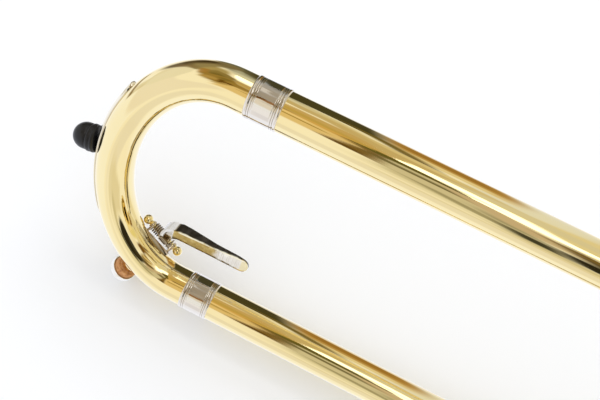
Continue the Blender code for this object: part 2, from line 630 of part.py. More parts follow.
brace("f_brace_bell_side", 905.0, F_LEG_E, 0, -BELL_D, 0, 8.3, bell_radius(900.5 - BELL_X) + 0.5, 2.6, 4.6, 12, NICKEL, BELLS)

F_SLIDE = joint("f_slide_axis", (950, (F_LEG_D + F_LEG_E) / 2, 0))
fr = (F_LEG_D - F_LEG_E) / 2
fpath = [Vector((876, F_LEG_D, 0)), Vector((943, F_LEG_D, 0))]
fpath += arc((950, (F_LEG_D + F_LEG_E) / 2, 0), fr, 90, -90, 10, (1, 0, 0), (0, 1, 0))
fpath += [Vector((943, F_LEG_E, 0)), Vector((876, F_LEG_E, 0))]
swept("f_tuning_slide", fpath, 7.0, BRASS, F_SLIDE, RES_F, wall=0.6)

# main tuning slide ------------------------------------------------------------
MAIN = joint("main_slide_axis", (MAIN_BOW_X, -BELL_D / 2, 0))
turned("tuning_leg_valve_side",
       [(9.4, 1031), (9.6, 1026), (9.2, 1020.4), (7.9, 1020.4), (7.9, 956), (7.3, 956), (7.3, 1031)], along_x(), NICKEL, MAIN, 16)
turned("tuning_leg_bell_side",
       [(11.2, 1031), (11.4, 1026), (11.0, 1020.4), (9.9, 1020.4), (9.9, 956), (9.2, 956), (9.2, 1031)], along_x(0, -BELL_D, 0), NICKEL, MAIN, 20)
crook = [Vector((1031.4, 0, 0))] + arc((1033.0, -BELL_D / 2, 0), BELL_D / 2, 90, -90, 16, (1, 0, 0), (0, 1, 0))
crook += [Vector((1031.4, -BELL_D, 0))]
swept("tuning_crook", crook, 9.0, BRASS, MAIN, 4, wall=0.6,
      radii=[8.6 + 1.9 * i / (len(crook) - 1) for i in range(len(crook))])
x_br = 1054.0
half = math.sqrt((BELL_D / 2) ** 2 - (x_br - 1033.0) ** 2)
ym = -BELL_D / 2
brace("tuning_brace", x_br, ym + half, 0, ym - half, 0, 10.9, 12.7, 2.6, 4.4, 12, NICKEL, MAIN)

# rotor and thumb linkage --------------------------------------------------------
ROT = joint("rotor_axis", (ROTOR_X, ROTOR_Y, 0))
rotor = rod("rotor", ROTOR_R, -14.8, 15.2, along_z(ROTOR_X, ROTOR_Y), BRASS, ROT, 32)
rotor = combine(rotor, [rod("rotor_spindle", 3.0, -20.9, 19.6, along_z(ROTOR_X, ROTOR_Y), BRASS, ROT, 16)])
chans = []
for nm, a in (("front", 90), ("back", -90)):
    ctr = RC + Vector((0, math.sin(math.radians(a)), 0)) * (ROTOR_R * math.sqrt(2))
    s = -1 if a > 0 else 1
    mid = -90 if a > 0 else 90
    chans.append(swept("channel_" + nm, arc(ctr, ROTOR_R, mid - 62, mid + 62, 9, (1, 0, 0), (0, 1, 0)), 6.2, BRASS, ROT, 3,
                       cut=True))
rotor = cut(rotor, chans, BRASS)

a_rest = math.radians(-45)
arm_end = RC + Vector((math.cos(a_rest), math.sin(a_rest), 0)) * 10.0


def capsule(p, q, rp, rq, n=6):
    """Outline round two circles."""
    p, q = Vector(p), Vector(q)
    d = (q - p)
    base = math.atan2(d.y, d.x)
    out = []
    for i in range(n + 1):
        a = base + math.pi / 2 + math.pi * i / n
        out.append((p.x + rp * math.cos(a), p.y + rp * math.sin(a)))
    for i in range(n + 1):
        a = base - math.pi / 2 + math.pi * i / n
        out.append((q.x + rq * math.cos(a), q.y + rq * math.sin(a)))
    return out


lug_end = RC - Vector((math.cos(a_rest), math.sin(a_rest), 0)) * 11.0
stop = plate("stop_arm", capsule((RC.x, RC.y), (arm_end.x, arm_end.y), 4.6, 2.8, 8), 3.2, along_z(0, 0, -22.9), NICKEL, ROT)
stop = combine(stop, [plate("stop_lug", capsule((RC.x, RC.y), (lug_end.x, lug_end.y), 3.6, 2.0, 8), 3.0, along_z(0, 0, -22.9),
                            NICKEL, ROT)], mat=NICKEL)

PIV = Vector((786.0, 1.5, 0))
TH = joint("thumb_lever_axis", (PIV.x, PIV.y, -22))
sad = block("lever_saddle", (12, 11, 15.5), along_z(PIV.x, PIV.y, -12.0), BRASS, BELLS)
sad = cut(sad, [swept("neck_clear", [Vector((765, 0, 0))] + neck, F_R + 0.35, BRASS, BELLS, RES_F, cut=True),
                rod("saddle_hole", 2.4, -25, -11, along_z(PIV.x, PIV.y), BRASS, BELLS, 16, cut=True)], BRASS)
turned("lever_pivot_screw",
       [(0, -11.6), (2.0, -11.6), (2.0, -25.3), (3.8, -25.3), (3.8, -26.6), (2.6, -27.4), (0, -27.4)],
       along_z(PIV.x, PIV.y), NICKEL, BELLS, 16, closed=False)
ARM = 34.0
a_l = math.radians(-90 + 12)
lev_end = PIV + Vector((math.cos(a_l), math.sin(a_l), 0)) * ARM
pad = Vector((761.0, -12.6, 0))
ZL = -22.9
lev = plate("thumb_lever", capsule((PIV.x, PIV.y), (lev_end.x, lev_end.y), 5.2, 2.9, 8), 2.6, along_z(0, 0, ZL), NICKEL, TH)
lev = combine(lev, [plate("thumb_arm", capsule((PIV.x, PIV.y), (pad.x, pad.y), 4.2, 3.4, 8), 2.4, along_z(0, 0, ZL), NICKEL, TH),
                    turned("thumb_touch", [(0, 1.6), (6, 1.4), (9.0, 0.7), (9.0, -0.7), (0, -1.4)],
                           frame((756.0, -14.2, ZL - 1.2), (0.15, -0.92, 0.35), (1, 0, 0)), NICKEL, TH, 20, closed=False),
                    rod("rod_pin", 1.4, -30.4, -22.0, along_z(lev_end.x, lev_end.y), NICKEL, TH, 12)])
lev = cut(lev, [rod("lever_hole", 2.4, -30, -18, along_z(PIV.x, PIV.y), NICKEL, TH, 16, cut=True)], NICKEL)

RODJ = joint("linkage_rod_axis", (lev_end.x, lev_end.y, -28))
ZR = -27.9
lrod = swept("linkage_rod", [Vector((lev_end.x + 2.4, lev_end.y, ZR)), Vector((lev_end.x + 3.5, lev_end.y, ZR)),
                             Vector((arm_end.x - 3.5, arm_end.y, ZR)), Vector((arm_end.x - 2.4, arm_end.y, ZR))], 1.3,
             NICKEL, RODJ, 2)
eyes = [rod("eye_a", 3.4, -29.4, -26.2, along_z(lev_end.x, lev_end.y), NICKEL, RODJ, 16),
        rod("eye_b", 3.2, -29.4, -26.4, along_z(arm_end.x, arm_end.y), NICKEL, RODJ, 16)]
lrod = combine(lrod, eyes)
lrod = cut(lrod, [rod("eye_hole", 1.8, -32, -24, along_z(lev_end.x, lev_end.y), NICKEL, RODJ, 12, cut=True)], NICKEL)

# ---------------------------------------------------------------- lay it down
ROOT.rotation_euler = (Matrix.Rotation(-PITCH, 3, 'Y') @ Matrix.Rotation(-ROLL, 3, 'X')).to_euler()
bpy.context.view_layer.update()
lo = Vector((1e9,) * 3)
hi = Vector((-1e9,) * 3)
for ob in HORN.objects:
    if ob.type == 'MESH':
        for c in ob.data.vertices:
            w = ob.matrix_world @ c.co
            lo = Vector(map(min, lo, w))
            hi = Vector(map(max, hi, w))
ROOT.location = (-(lo.x + hi.x) / 2, -(lo.y + hi.y) / 2, -lo.z)
bpy.context.view_layer.update()
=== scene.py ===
import math

import bmesh
import bpy
import numpy as np
from mathutils import Matrix, Vector

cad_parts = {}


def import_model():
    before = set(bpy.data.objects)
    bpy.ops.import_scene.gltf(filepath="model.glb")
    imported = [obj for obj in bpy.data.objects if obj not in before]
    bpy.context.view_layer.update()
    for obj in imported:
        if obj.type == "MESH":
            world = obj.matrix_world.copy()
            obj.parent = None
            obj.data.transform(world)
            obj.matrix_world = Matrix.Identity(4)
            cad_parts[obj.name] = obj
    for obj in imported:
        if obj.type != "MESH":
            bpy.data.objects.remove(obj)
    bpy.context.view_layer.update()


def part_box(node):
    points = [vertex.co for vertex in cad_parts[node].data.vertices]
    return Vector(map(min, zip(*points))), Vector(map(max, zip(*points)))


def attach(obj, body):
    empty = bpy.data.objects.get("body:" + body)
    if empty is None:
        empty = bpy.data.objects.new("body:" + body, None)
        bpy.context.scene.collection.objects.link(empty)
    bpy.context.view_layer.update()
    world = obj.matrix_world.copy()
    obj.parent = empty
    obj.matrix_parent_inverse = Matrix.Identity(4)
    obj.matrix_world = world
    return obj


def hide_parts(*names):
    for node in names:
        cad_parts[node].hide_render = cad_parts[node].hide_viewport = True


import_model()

MM = 0.001
SLIDE_W = 92.5
TUBE_R = 7.4
TUBE_RI = 6.9
BOW_R = 7.3
BOW_DEPTH = 36.6
FERRULE_X = (4.8, 16.9)
FERRULE_R = 7.85
OUTER_END = 640.0
INNER_START = 20.0
STOCKING_END = 118.0
BARREL_X = (622.0, 672.0)
BARREL_R = 9.6
INNER_R = 6.25
STOCKING_R = 6.5
INNER_RI = 5.75
BELL_D = 170.0
BELL_X = 396.0
BELL_R = 110.0
BELL_TAIL = 940.0
BELL_WALL = 0.6
ROTOR_X = 840.0
ROTOR_Y = -23.5
ROTOR_R = 17.0
CASING_R = 20.0
CASING_RI = 17.4
STUB = 25.0
F_R = 7.4
F_LEG_C = -47.0
F_LEG_D = -76.9
F_LEG_E = -109.9
LOWER, UPPER = 0.0, SLIDE_W
ROLL = math.radians(32.463)
PITCH = math.radians(0.97)

TURN = Matrix.Rotation(-PITCH, 3, 'Y') @ Matrix.Rotation(-ROLL, 3, 'X')
lo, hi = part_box("outer_tube_lower")
mid_tube = (lo + hi) / 2                     # the middle of the lower slide tube
LIE = TURN.to_4x4()
LIE.translation = mid_tube - TURN @ (Vector(((FERRULE_X[1] + 0.3 + OUTER_END) / 2, 0, 0)) * MM)

V = Vector


# ---------------------------------------------------------------- node helpers
class Nodes:
    """Small helper for shader trees."""

    def __init__(self, tree):
        self.t = tree
        tree.nodes.clear()
        self.n = 0

    def add(self, kind, **props):
        nd = self.t.nodes.new(kind)
        nd.location = (self.n * 40 % 1600, -(self.n // 8) * 160)
        self.n += 1
        for k, v in props.items():
            setattr(nd, k, v)
        return nd

    def link(self, a, b):
        self.t.links.new(a, b)

    def feed(self, sock, value):
        if hasattr(value, "links") or hasattr(value, "is_linked"):
            self.link(value, sock)
        elif value is not None:
            sock.default_value = value

    def math(self, op, a, b=None, c=None, clamp=False):
        nd = self.add('ShaderNodeMath', operation=op, use_clamp=clamp)
        self.feed(nd.inputs[0], a)
        self.feed(nd.inputs[1], b)
        if c is not None:
            self.feed(nd.inputs[2], c)
        return nd.outputs[0]

    def ramp(self, fac, stops, mode='LINEAR'):
        nd = self.add('ShaderNodeValToRGB')
        nd.color_ramp.interpolation = mode
        els = nd.color_ramp.elements
        while len(els) > 1:
            els.remove(els[-1])
        for i, (p, c) in enumerate(stops):
            e = els[0] if i == 0 else els.new(p)
            e.position = p
            e.color = (*c, 1) if len(c) == 3 else c
        self.feed(nd.inputs[0], fac)
        return nd.outputs[0]

    def span(self, v, a, b, lo=0.0, hi=1.0, smooth=True):
        nd = self.add('ShaderNodeMapRange')
        nd.interpolation_type = 'SMOOTHSTEP' if smooth else 'LINEAR'
        nd.clamp = True
        self.feed(nd.inputs['Value'], v)
        nd.inputs['From Min'].default_value = a
        nd.inputs['From Max'].default_value = b
        nd.inputs['To Min'].default_value = lo
        nd.inputs['To Max'].default_value = hi
        return nd.outputs['Result']

    def mix(self, fac, a, b, blend='MIX'):
        nd = self.add('ShaderNodeMix', data_type='RGBA', blend_type=blend)
        self.feed(nd.inputs['Factor'], fac)
        for sock, v in ((nd.inputs['A'], a), (nd.inputs['B'], b)):
            pass
        a_s = [s for s in nd.inputs if s.name == 'A' and s.type == 'RGBA'][0]
        b_s = [s for s in nd.inputs if s.name == 'B' and s.type == 'RGBA'][0]
        for sock, v in ((a_s, a), (b_s, b)):
            if isinstance(v, tuple):
                sock.default_value = (*v, 1) if len(v) == 3 else v
            else:
                self.link(v, sock)
        return [s for s in nd.outputs if s.type == 'RGBA'][0]

    def noise(self, scale, detail=3.0, rough=0.5, vec=None, dist=0.0):
        nd = self.add('ShaderNodeTexNoise')
        nd.inputs['Scale'].default_value = scale
        nd.inputs['Detail'].default_value = detail
        nd.inputs['Roughness'].default_value = rough
        nd.inputs['Distortion'].default_value = dist
        if vec is not None:
            self.link(vec, nd.inputs['Vector'])
        return nd.outputs['Fac']


def instrument_mm(n, co):
    """World position to instrument-frame millimetres (x, y, z outputs)."""
    back = TURN.transposed()
    mp = n.add('ShaderNodeMapping')
    n.link(co, mp.inputs['Vector'])
    mp.inputs['Scale'].default_value = (1000.0, 1000.0, 1000.0)
    mp.inputs['Rotation'].default_value = back.to_euler('XYZ')
    mp.inputs['Location'].default_value = -(back @ LIE.translation) * 1000.0
    sep = n.add('ShaderNodeSeparateXYZ')
    n.link(mp.outputs[0], sep.inputs[0])
    return sep.outputs


def drawn_lines(n, co):
    """Height of the faint lines that drawing and buffing leave along the
    slide tubes and round the bow."""
    x, y, z = instrument_mm(n, co)
    xb = n.math('DIVIDE', n.math('MINIMUM', x, 0.0), BOW_DEPTH)
    zb = n.math('DIVIDE', n.math('SUBTRACT', z, SLIDE_W / 2), SLIDE_W / 2)
    s = n.math('SQRT', n.math('ADD', n.math('MULTIPLY', xb, xb), n.math('MULTIPLY', zb, zb)))
    s = n.math('MULTIPLY', s, SLIDE_W / 2)
    com = n.add('ShaderNodeCombineXYZ')
    n.link(s, com.inputs[0])
    n.link(y, com.inputs[1])
    n.link(n.math('MULTIPLY', x, 0.006), com.inputs[2])
    return n.noise(0.85, 3.0, 0.55, com.outputs[0])


def metal(name, colour, deep, rough, grain_dir=None, coat=0.0, smudge=0.02, fine=0.02, drawn=0.0, painted_bands=None):
    """Polished metal: tint that varies a little, wiping marks in the gloss and
    hairline scratches, under an optional clear lacquer."""
    m = bpy.data.materials.new(name)
    m.use_nodes = True
    n = Nodes(m.node_tree)
    out = n.add('ShaderNodeOutputMaterial')
    b = n.add('ShaderNodeBsdfPrincipled')
    n.link(b.outputs[0], out.inputs[0])
    b.inputs['Metallic'].default_value = 1.0
    b.inputs['IOR'].default_value = 1.5
    if coat:
        b.inputs['Coat Weight'].default_value = coat
        b.inputs['Coat Roughness'].default_value = 0.03
        b.inputs['Coat IOR'].default_value = 1.5
    co = n.add('ShaderNodeTexCoord').outputs['Object']
    cloud = n.noise(26.0, 4.0, 0.6, co)
    tint = n.mix(n.span(cloud, 0.35, 0.75, 0, 0.35), (*colour, 1.0), (*deep, 1.0))
    if painted_bands:
        tint, dull = painted_bands(n, co, tint)
        n.link(dull, b.inputs['Metallic'])
    n.link(tint, b.inputs['Base Color'])
    mp = n.add('ShaderNodeMapping')
    n.link(co, mp.inputs['Vector'])
    mp.inputs['Scale'].default_value = grain_dir or (1.0, 1.0, 1.0)
    wipe = n.noise(60.0, 5.0, 0.65, mp.outputs[0], 0.6)
    smear = n.noise(9.0, 3.0, 0.6, co, 1.2)
    r = n.math('MULTIPLY_ADD', wipe, smudge, rough - smudge * 0.5)
    r = n.math('ADD', r, n.span(smear, 0.5, 0.8, 0, smudge * 1.4), clamp=True)
    n.link(r, b.inputs['Roughness'])
    mp2 = n.add('ShaderNodeMapping')
    n.link(co, mp2.inputs['Vector'])
    g = grain_dir or (1.0, 1.0, 1.0)
    mp2.inputs['Scale'].default_value = tuple(c * 3.0 for c in g)
    hair = n.noise(900.0, 2.0, 0.5, mp2.outputs[0])
    bump = n.add('ShaderNodeBump')
    bump.inputs['Strength'].default_value = fine
    bump.inputs['Distance'].default_value = 0.0001
    n.link(hair, bump.inputs['Height'])
    if drawn:
        line_ = n.add('ShaderNodeBump')
        line_.inputs['Strength'].default_value = 1.0
        line_.inputs['Distance'].default_value = drawn
        n.link(drawn_lines(n, co), line_.inputs['Height'])
        n.link(line_.outputs[0], bump.inputs['Normal'])
    n.link(bump.outputs[0], b.inputs['Normal'])
    m.diffuse_color = (*colour, 1)
    return m


BRASS = metal("brass_lacquer", (0.905, 0.765, 0.415), (0.86, 0.68, 0.32), 0.035, coat=0.5, smudge=0.012, fine=0.012)
BRASS_IN = metal("brass_inside", (0.80, 0.62, 0.28), (0.55, 0.38, 0.15), 0.16, coat=0.0, smudge=0.06, fine=0.05)
BRASS_DRAWN = metal("brass_drawn", (0.905, 0.765, 0.415), (0.87, 0.70, 0.34), 0.035, coat=0.5, smudge=0.012, fine=0.012, drawn=0.00003)
NICKEL = metal("nickel_polish", (0.76, 0.715, 0.655), (0.66, 0.605, 0.54), 0.055, smudge=0.03, fine=0.03)
NICKEL_WORN = metal("nickel_handled", (0.82, 0.79, 0.75), (0.74, 0.70, 0.63), 0.075, (1.0, 1.0, 1.0), smudge=0.05, fine=0.10)
SILVER = metal("silver_polish", (0.93, 0.92, 0.89), (0.85, 0.83, 0.78), 0.03, smudge=0.015, fine=0.01)
CHROME = metal("plated_inner_tube", (0.72, 0.73, 0.74), (0.64, 0.65, 0.66), 0.05, (0.15, 1.0, 1.0), smudge=0.03, fine=0.03)
STEEL = metal("spring_steel", (0.46, 0.40, 0.33), (0.30, 0.25, 0.19), 0.12, smudge=0.06, fine=0.05)
GUARD = metal("nickel_guard", (0.90, 0.84, 0.70), (0.80, 0.72, 0.56), 0.09, smudge=0.04, fine=0.03)
# darker, browner nickel for the water key saddle
NICKEL_BROWN = metal("nickel_brownish", (0.56, 0.47, 0.34), (0.36, 0.28, 0.17), 0.10, smudge=0.08, fine=0.06)


def finger_plating():
    """Nickel plating of the water key lever: a painted gold reflection of the brass bow on the
    half of the finger strip nearest the hub, scratched beyond it, and a painted dark
    reflection on the flange above."""
    m = bpy.data.materials.new("nickel_finger_scratches_and_painted_light")
    m.use_nodes = True
    n = Nodes(m.node_tree)
    out = n.add('ShaderNodeOutputMaterial')
    b = n.add('ShaderNodeBsdfPrincipled')
    n.link(b.outputs[0], out.inputs[0])
    b.inputs['Metallic'].default_value = 1.0
    co = n.add('ShaderNodeTexCoord').outputs['Object']
    x, y, z = instrument_mm(n, co)
    cloud = n.noise(420.0, 4.0, 0.6, co)
    wob = n.noise(330.0, 3.0, 0.55, co)
    plate = n.mix(n.span(cloud, 0.4, 0.7, 0, 0.4), (0.86, 0.83, 0.76, 1.0), (0.74, 0.69, 0.58, 1.0))
    # short marks across the strip, close together near the edge of the painted gold reflection
    mp = n.add('ShaderNodeMapping')
    n.link(co, mp.inputs['Vector'])
    mp.inputs['Scale'].default_value = (1.0, 0.09, 0.09)
    tick = n.noise(1500.0, 3.0, 0.6, mp.outputs[0])
    near = n.span(x, 10.0, 22.0, 0.75, 0.25)
    marks = n.math('MULTIPLY', near, n.math('MULTIPLY', n.span(y, 3.6, 3.2, 0, 1), n.span(z, 16.8, 17.4, 0, 1)))
    plate = n.mix(n.math('MULTIPLY', n.span(tick, 0.46, 0.66, 0, 0.75), marks), plate, (0.52, 0.44, 0.31, 1.0))
    # painted reflection: gold of the brass bow on the half of the strip nearest the hub, its edge wavy
    brass = n.ramp(cloud, [(0.30, (0.33, 0.225, 0.060)), (0.50, (0.47, 0.335, 0.11)), (0.72, (0.64, 0.50, 0.21))])
    edge = n.math('ADD', x, n.math('MULTIPLY', n.math('SUBTRACT', wob, 0.5), 5.0))
    strip = n.math('MULTIPLY', n.span(y, 3.4, 2.75, 0, 1), n.span(z, 17.2, 17.8, 0, 1))
    gold_reflection = n.math('MULTIPLY', n.span(edge, 9.2, 11.4, 1, 0), strip)
    col = n.mix(gold_reflection, plate, brass)
    # painted shade: darker along the lower edge of the strip
    low = n.math('MULTIPLY', n.span(z, 19.9, 18.8, 0, 0.85), strip)
    col = n.mix(n.math('MULTIPLY', low, n.span(x, 17.0, 22.0, 1, 0)), col, (0.115, 0.085, 0.035, 1.0))
    # painted reflection: pale gold on the rounded tip
    tip = n.math('MULTIPLY', n.span(x, 20.7, 21.6, 0, 0.9), strip)
    col = n.mix(tip, col, (0.88, 0.78, 0.48, 1.0))
    # painted dark reflection on the flange top
    top = n.math('MULTIPLY', n.span(z, 21.4, 21.9, 0, 1), n.span(y, 2.75, 2.95, 0, 1))
    dark = n.ramp(cloud, [(0.3, (0.066, 0.059, 0.053)), (0.7, (0.125, 0.108, 0.094))])
    col = n.mix(n.math('MULTIPLY', top, n.span(x, -8.0, -7.2, 0, 1)), col, dark)
    # painted highlight along the strip's upper edge
    up = n.math('SUBTRACT', z, n.math('MULTIPLY_ADD', x, 0.06, 23.1))
    lit = n.math('MULTIPLY', n.span(up, -0.85, -0.5, 0, 0.9), n.math('MULTIPLY', n.span(y, 2.95, 2.7, 0, 1), n.span(x, -7.0, -5.0, 0, 1)))
    col = n.mix(lit, col, (0.90, 0.84, 0.66, 1.0))
    # browner colour round the pivot hub
    hx, hy, hz = n.math('ADD', x, 12.2), n.math('SUBTRACT', y, 7.0), n.math('SUBTRACT', z, 12.8)
    rr_ = n.math('ADD', n.math('MULTIPLY', hx, hx), n.math('ADD', n.math('MULTIPLY', hy, hy), n.math('MULTIPLY', hz, hz)))
    col = n.mix(n.span(n.math('SQRT', rr_), 6.0, 4.6, 0, 0.85), col, (0.40, 0.30, 0.16, 1.0))
    # painted highlight: the curl at the root pale and less metallic
    curl_ = n.math('MULTIPLY', n.span(x, -7.8, -8.3, 0, 1), n.span(z, 16.4, 17.2, 0, 1))
    col = n.mix(curl_, col, (0.86, 0.85, 0.83, 1.0))
    n.link(n.math('MULTIPLY_ADD', curl_, -0.8, 1.0), b.inputs['Metallic'])
    n.link(col, b.inputs['Base Color'])
    n.link(n.math('ADD', n.span(tick, 0.3, 0.7, 0.06, 0.16), n.math('MULTIPLY', top, 0.25)), b.inputs['Roughness'])
    bump = n.add('ShaderNodeBump')
    bump.inputs['Strength'].default_value = 0.35
    bump.inputs['Distance'].default_value = 0.00006
    n.link(tick, bump.inputs['Height'])
    n.link(bump.outputs[0], b.inputs['Normal'])
    m.diffuse_color = (0.7, 0.66, 0.55, 1)
    return m


def rubber():
    m = bpy.data.materials.new("rubber_black")
    m.use_nodes = True
    n = Nodes(m.node_tree)
    out = n.add('ShaderNodeOutputMaterial')
    b = n.add('ShaderNodeBsdfPrincipled')
    n.link(b.outputs[0], out.inputs[0])
    co = n.add('ShaderNodeTexCoord').outputs['Object']
    big = n.noise(180.0, 3.0, 0.6, co)
    n.link(n.ramp(big, [(0.3, (0.006, 0.006, 0.007)), (0.7, (0.015, 0.015, 0.017))]), b.inputs['Base Color'])
    n.link(n.span(n.noise(500.0, 4.0, 0.6, co), 0.3, 0.7, 0.30, 0.42), b.inputs['Roughness'])
    b.inputs['Specular IOR Level'].default_value = 0.36
    bump = n.add('ShaderNodeBump')
    bump.inputs['Strength'].default_value = 0.22
    bump.inputs['Distance'].default_value = 0.0002
    n.link(n.noise(2600.0, 3.0, 0.55, co), bump.inputs['Height'])
    n.link(bump.outputs[0], b.inputs['Normal'])
    m.diffuse_color = (0.02, 0.02, 0.02, 1)
    return m


def cork():
    m = bpy.data.materials.new("cork_grain")
    m.use_nodes = True
    n = Nodes(m.node_tree)
    out = n.add('ShaderNodeOutputMaterial')
    b = n.add('ShaderNodeBsdfPrincipled')
    n.link(b.outputs[0], out.inputs[0])
    co = n.add('ShaderNodeTexCoord').outputs['Object']
    vo = n.add('ShaderNodeTexVoronoi', feature='F1')
    vo.inputs['Scale'].default_value = 1500.0
    n.link(co, vo.inputs['Vector'])
    grain = n.noise(700.0, 4.0, 0.65, co)
    base = n.ramp(grain, [(0.25, (0.30, 0.11, 0.035)), (0.5, (0.60, 0.28, 0.10)), (0.8, (0.78, 0.45, 0.20))])
    dark = n.mix(n.span(vo.outputs['Distance'], 0.0, 0.22, 0.75, 0.0), base, (0.20, 0.08, 0.03, 1.0))
    n.link(dark, b.inputs['Base Color'])
    b.inputs['Roughness'].default_value = 0.82
    bump = n.add('ShaderNodeBump')
    bump.inputs['Strength'].default_value = 0.5
    bump.inputs['Distance'].default_value = 0.0003
    n.link(grain, bump.inputs['Height'])
    n.link(bump.outputs[0], b.inputs['Normal'])
    m.diffuse_color = (0.6, 0.3, 0.1, 1)
    return m


RUBBER = rubber()
CORK = cork()
FINGER = finger_plating()


# ---------------------------------------------------------------- mesh helpers
def place(origin, z, x=None):
    """Matrix in mm whose local Z is `z` and whose local X leans towards `x`."""
    z = V(z).normalized()
    x = V(x) if x is not None else (V((0, 0, 1)) if abs(z.z) < 0.9 else V((1, 0, 0)))
    y = z.cross(x).normalized()
    x = y.cross(z)
    m = Matrix((x, y, z)).transposed().to_4x4()
    m.translation = V(origin)
    return m


def along_x(x=0, y=0, z=0):
    return place((x, y, z), (1, 0, 0), (0, 0, 1))


def along_z(x=0, y=0, z=0):
    return place((x, y, z), (0, 0, 1), (1, 0, 0))


def shift(x=0, y=0, z=0):
    return Matrix.Translation((x, y, z))


class Shape:
    """Gathers vertices (mm, instrument frame) and faces for one piece."""

    def __init__(self):
        self.v = []
        self.f = []

    def add(self, verts, faces, m=None):
        base = len(self.v)
        if m is not None:
            a = np.array(m)
            verts = np.asarray(verts, float) @ a[:3, :3].T + a[:3, 3]
        self.v.extend(map(tuple, np.asarray(verts, float)))
        self.f.extend([tuple(base + i for i in f) for f in faces])
        return self

    def turned(self, profile, m, steps=64, closed=True, a0=0.0):
        """Lathe: (r, h) points. closed profiles make a ring, open ones run
        from the axis to the axis."""
        p = list(profile)
        n = len(p)
        ang = [a0 + 2 * math.pi * i / steps for i in range(steps)]
        verts, idx = [], []
        for r, h in p:
            if r < 1e-6:
                idx.append([len(verts)] * steps)
                verts.append((0, 0, h))
            else:
                idx.append(list(range(len(verts), len(verts) + steps)))
                verts += [(r * math.cos(a), r * math.sin(a), h) for a in ang]
        faces = []
        for i in range(n if closed else n - 1):
            a, b = idx[i], idx[(i + 1) % n]
            for k in range(steps):
                k2 = (k + 1) % steps
                quad = [a[k], a[k2], b[k2], b[k]]
                face = []
                for q in quad:
                    if q not in face:
                        face.append(q)
                if len(face) > 2:
                    faces.append(face)
        return self.add(verts, faces, m)

    def swept(self, pts, radii, sides=48, wall=0.0, lip=0.12, cap=0.4, section=None, up=None):
        """A tube (wall > 0, with rounded lips) or a rod with domed ends."""
        pts = [V(p) for p in pts]
        n = len(pts)
        if not hasattr(radii, "__len__"):
            radii = [radii] * n
        tan = []
        for i in range(n):
            t = pts[min(i + 1, n - 1)] - pts[max(i - 1, 0)]
            tan.append(t.normalized())
        nrm = V(up) if up is not None else V((0, 1, 0))
        if abs(nrm.dot(tan[0])) > 0.9:
            nrm = V((0, 0, 1))
        frames = []
        for t in tan:
            nrm = (nrm - t * nrm.dot(t)).normalized()
            frames.append((t, nrm.copy(), t.cross(nrm)))
        rings = []
        def ring(i, r, shift_t=0.0):
            t, u, w = frames[i]
            c = pts[i] + t * shift_t
            if section:
                return [c + u * (sx * r) + w * (sy * r) for sx, sy in section]
            return [c + u * (r * math.cos(a)) + w * (r * math.sin(a))
                    for a in [2 * math.pi * k / sides for k in range(sides)]]
        k = len(section) if section else sides
        if wall:
            for i in range(n):
                rr = radii[i]
                if i == 0:
                    rings.append(ring(0, rr - lip, 0.0))
                    rings.append(ring(0, rr, lip))
                elif i == n - 1:
                    rings.append(ring(i, rr, -lip))
                    rings.append(ring(i, rr - lip, 0.0))
                else:
                    rings.append(ring(i, rr))
            inner = []
            for i in range(n - 1, -1, -1):
                rr = radii[i] - wall
                if i == n - 1:
                    inner.append(ring(i, rr + lip * 0.5, 0.0))
                    inner.append(ring(i, rr, -lip))
                elif i == 0:
                    inner.append(ring(0, rr, lip))
                    inner.append(ring(0, rr + lip * 0.5, 0.0))
                else:
                    inner.append(ring(i, rr))
            rings += inner
            verts = [p for rg in rings for p in rg]
            faces = []
            m = len(rings)
            for i in range(m):
                j = (i + 1) % m
                for q in range(k):
                    q2 = (q + 1) % k
                    faces.append((i * k + q, i * k + q2, j * k + q2, j * k + q))
            return self.add([tuple(p) for p in verts], faces)
        r0, r1 = radii[0], radii[-1]
        c0, c1 = min(cap, r0 * 0.9), min(cap, r1 * 0.9)
        rings.append(ring(0, r0 - c0, 0.0))
        rings.append(ring(0, r0 - c0 * 0.3, c0 * 0.3))
        rings.append(ring(0, r0, c0))
        for i in range(1, n - 1):
            rings.append(ring(i, radii[i]))
        rings.append(ring(n - 1, r1, -c1))
        rings.append(ring(n - 1, r1 - c1 * 0.3, -c1 * 0.3))
        rings.append(ring(n - 1, r1 - c1, 0.0))
        verts = [tuple(p) for rg in rings for p in rg]
        faces = []
        m = len(rings)
        for i in range(m - 1):
            for q in range(k):
                q2 = (q + 1) % k
                faces.append((i * k + q, i * k + q2, (i + 1) * k + q2, (i + 1) * k + q))
        faces.append(tuple(range(k))[::-1])
        faces.append(tuple((m - 1) * k + q for q in range(k)))
        return self.add(verts, faces)

    def plate(self, outline, thick, m, bevel=0.3, segs=2, crown=0.0):
        """A flat outline with rounded edges, centred on its plane."""
        bm = bmesh.new()
        vs = [bm.verts.new((x, y, -thick / 2)) for x, y in outline]
        f = bm.faces.new(vs)
        r = bmesh.ops.extrude_face_region(bm, geom=[f])
        top = [g for g in r['geom'] if isinstance(g, bmesh.types.BMVert)]
        bmesh.ops.translate(bm, verts=top, vec=(0, 0, thick))
        bmesh.ops.recalc_face_normals(bm, faces=bm.faces)
        rim = [e for e in bm.edges if len(e.link_faces) == 2 and e.calc_face_angle() > 0.9
               and abs(e.verts[0].co.z - e.verts[1].co.z) < 1e-4]
        if bevel:
            bmesh.ops.bevel(bm, geom=rim, offset=bevel, segments=segs, affect='EDGES', profile=0.5)
        bm.verts.index_update()
        verts = [tuple(v.co) for v in bm.verts]
        faces = [tuple(v.index for v in fc.verts) for fc in bm.faces]
        bm.free()
        return self.add(verts, faces, m)

    def box(self, size, m, bevel=0.3, segs=3):
        bm = bmesh.new()
        bmesh.ops.create_cube(bm, size=1.0)
        bmesh.ops.scale(bm, vec=size, verts=bm.verts)
        if bevel:
            bmesh.ops.bevel(bm, geom=bm.edges[:], offset=bevel, segments=segs, affect='EDGES', profile=0.5)
        bm.verts.index_update()
        verts = [tuple(v.co) for v in bm.verts]
        faces = [tuple(v.index for v in fc.verts) for fc in bm.faces]
        bm.free()
        return self.add(verts, faces, m)

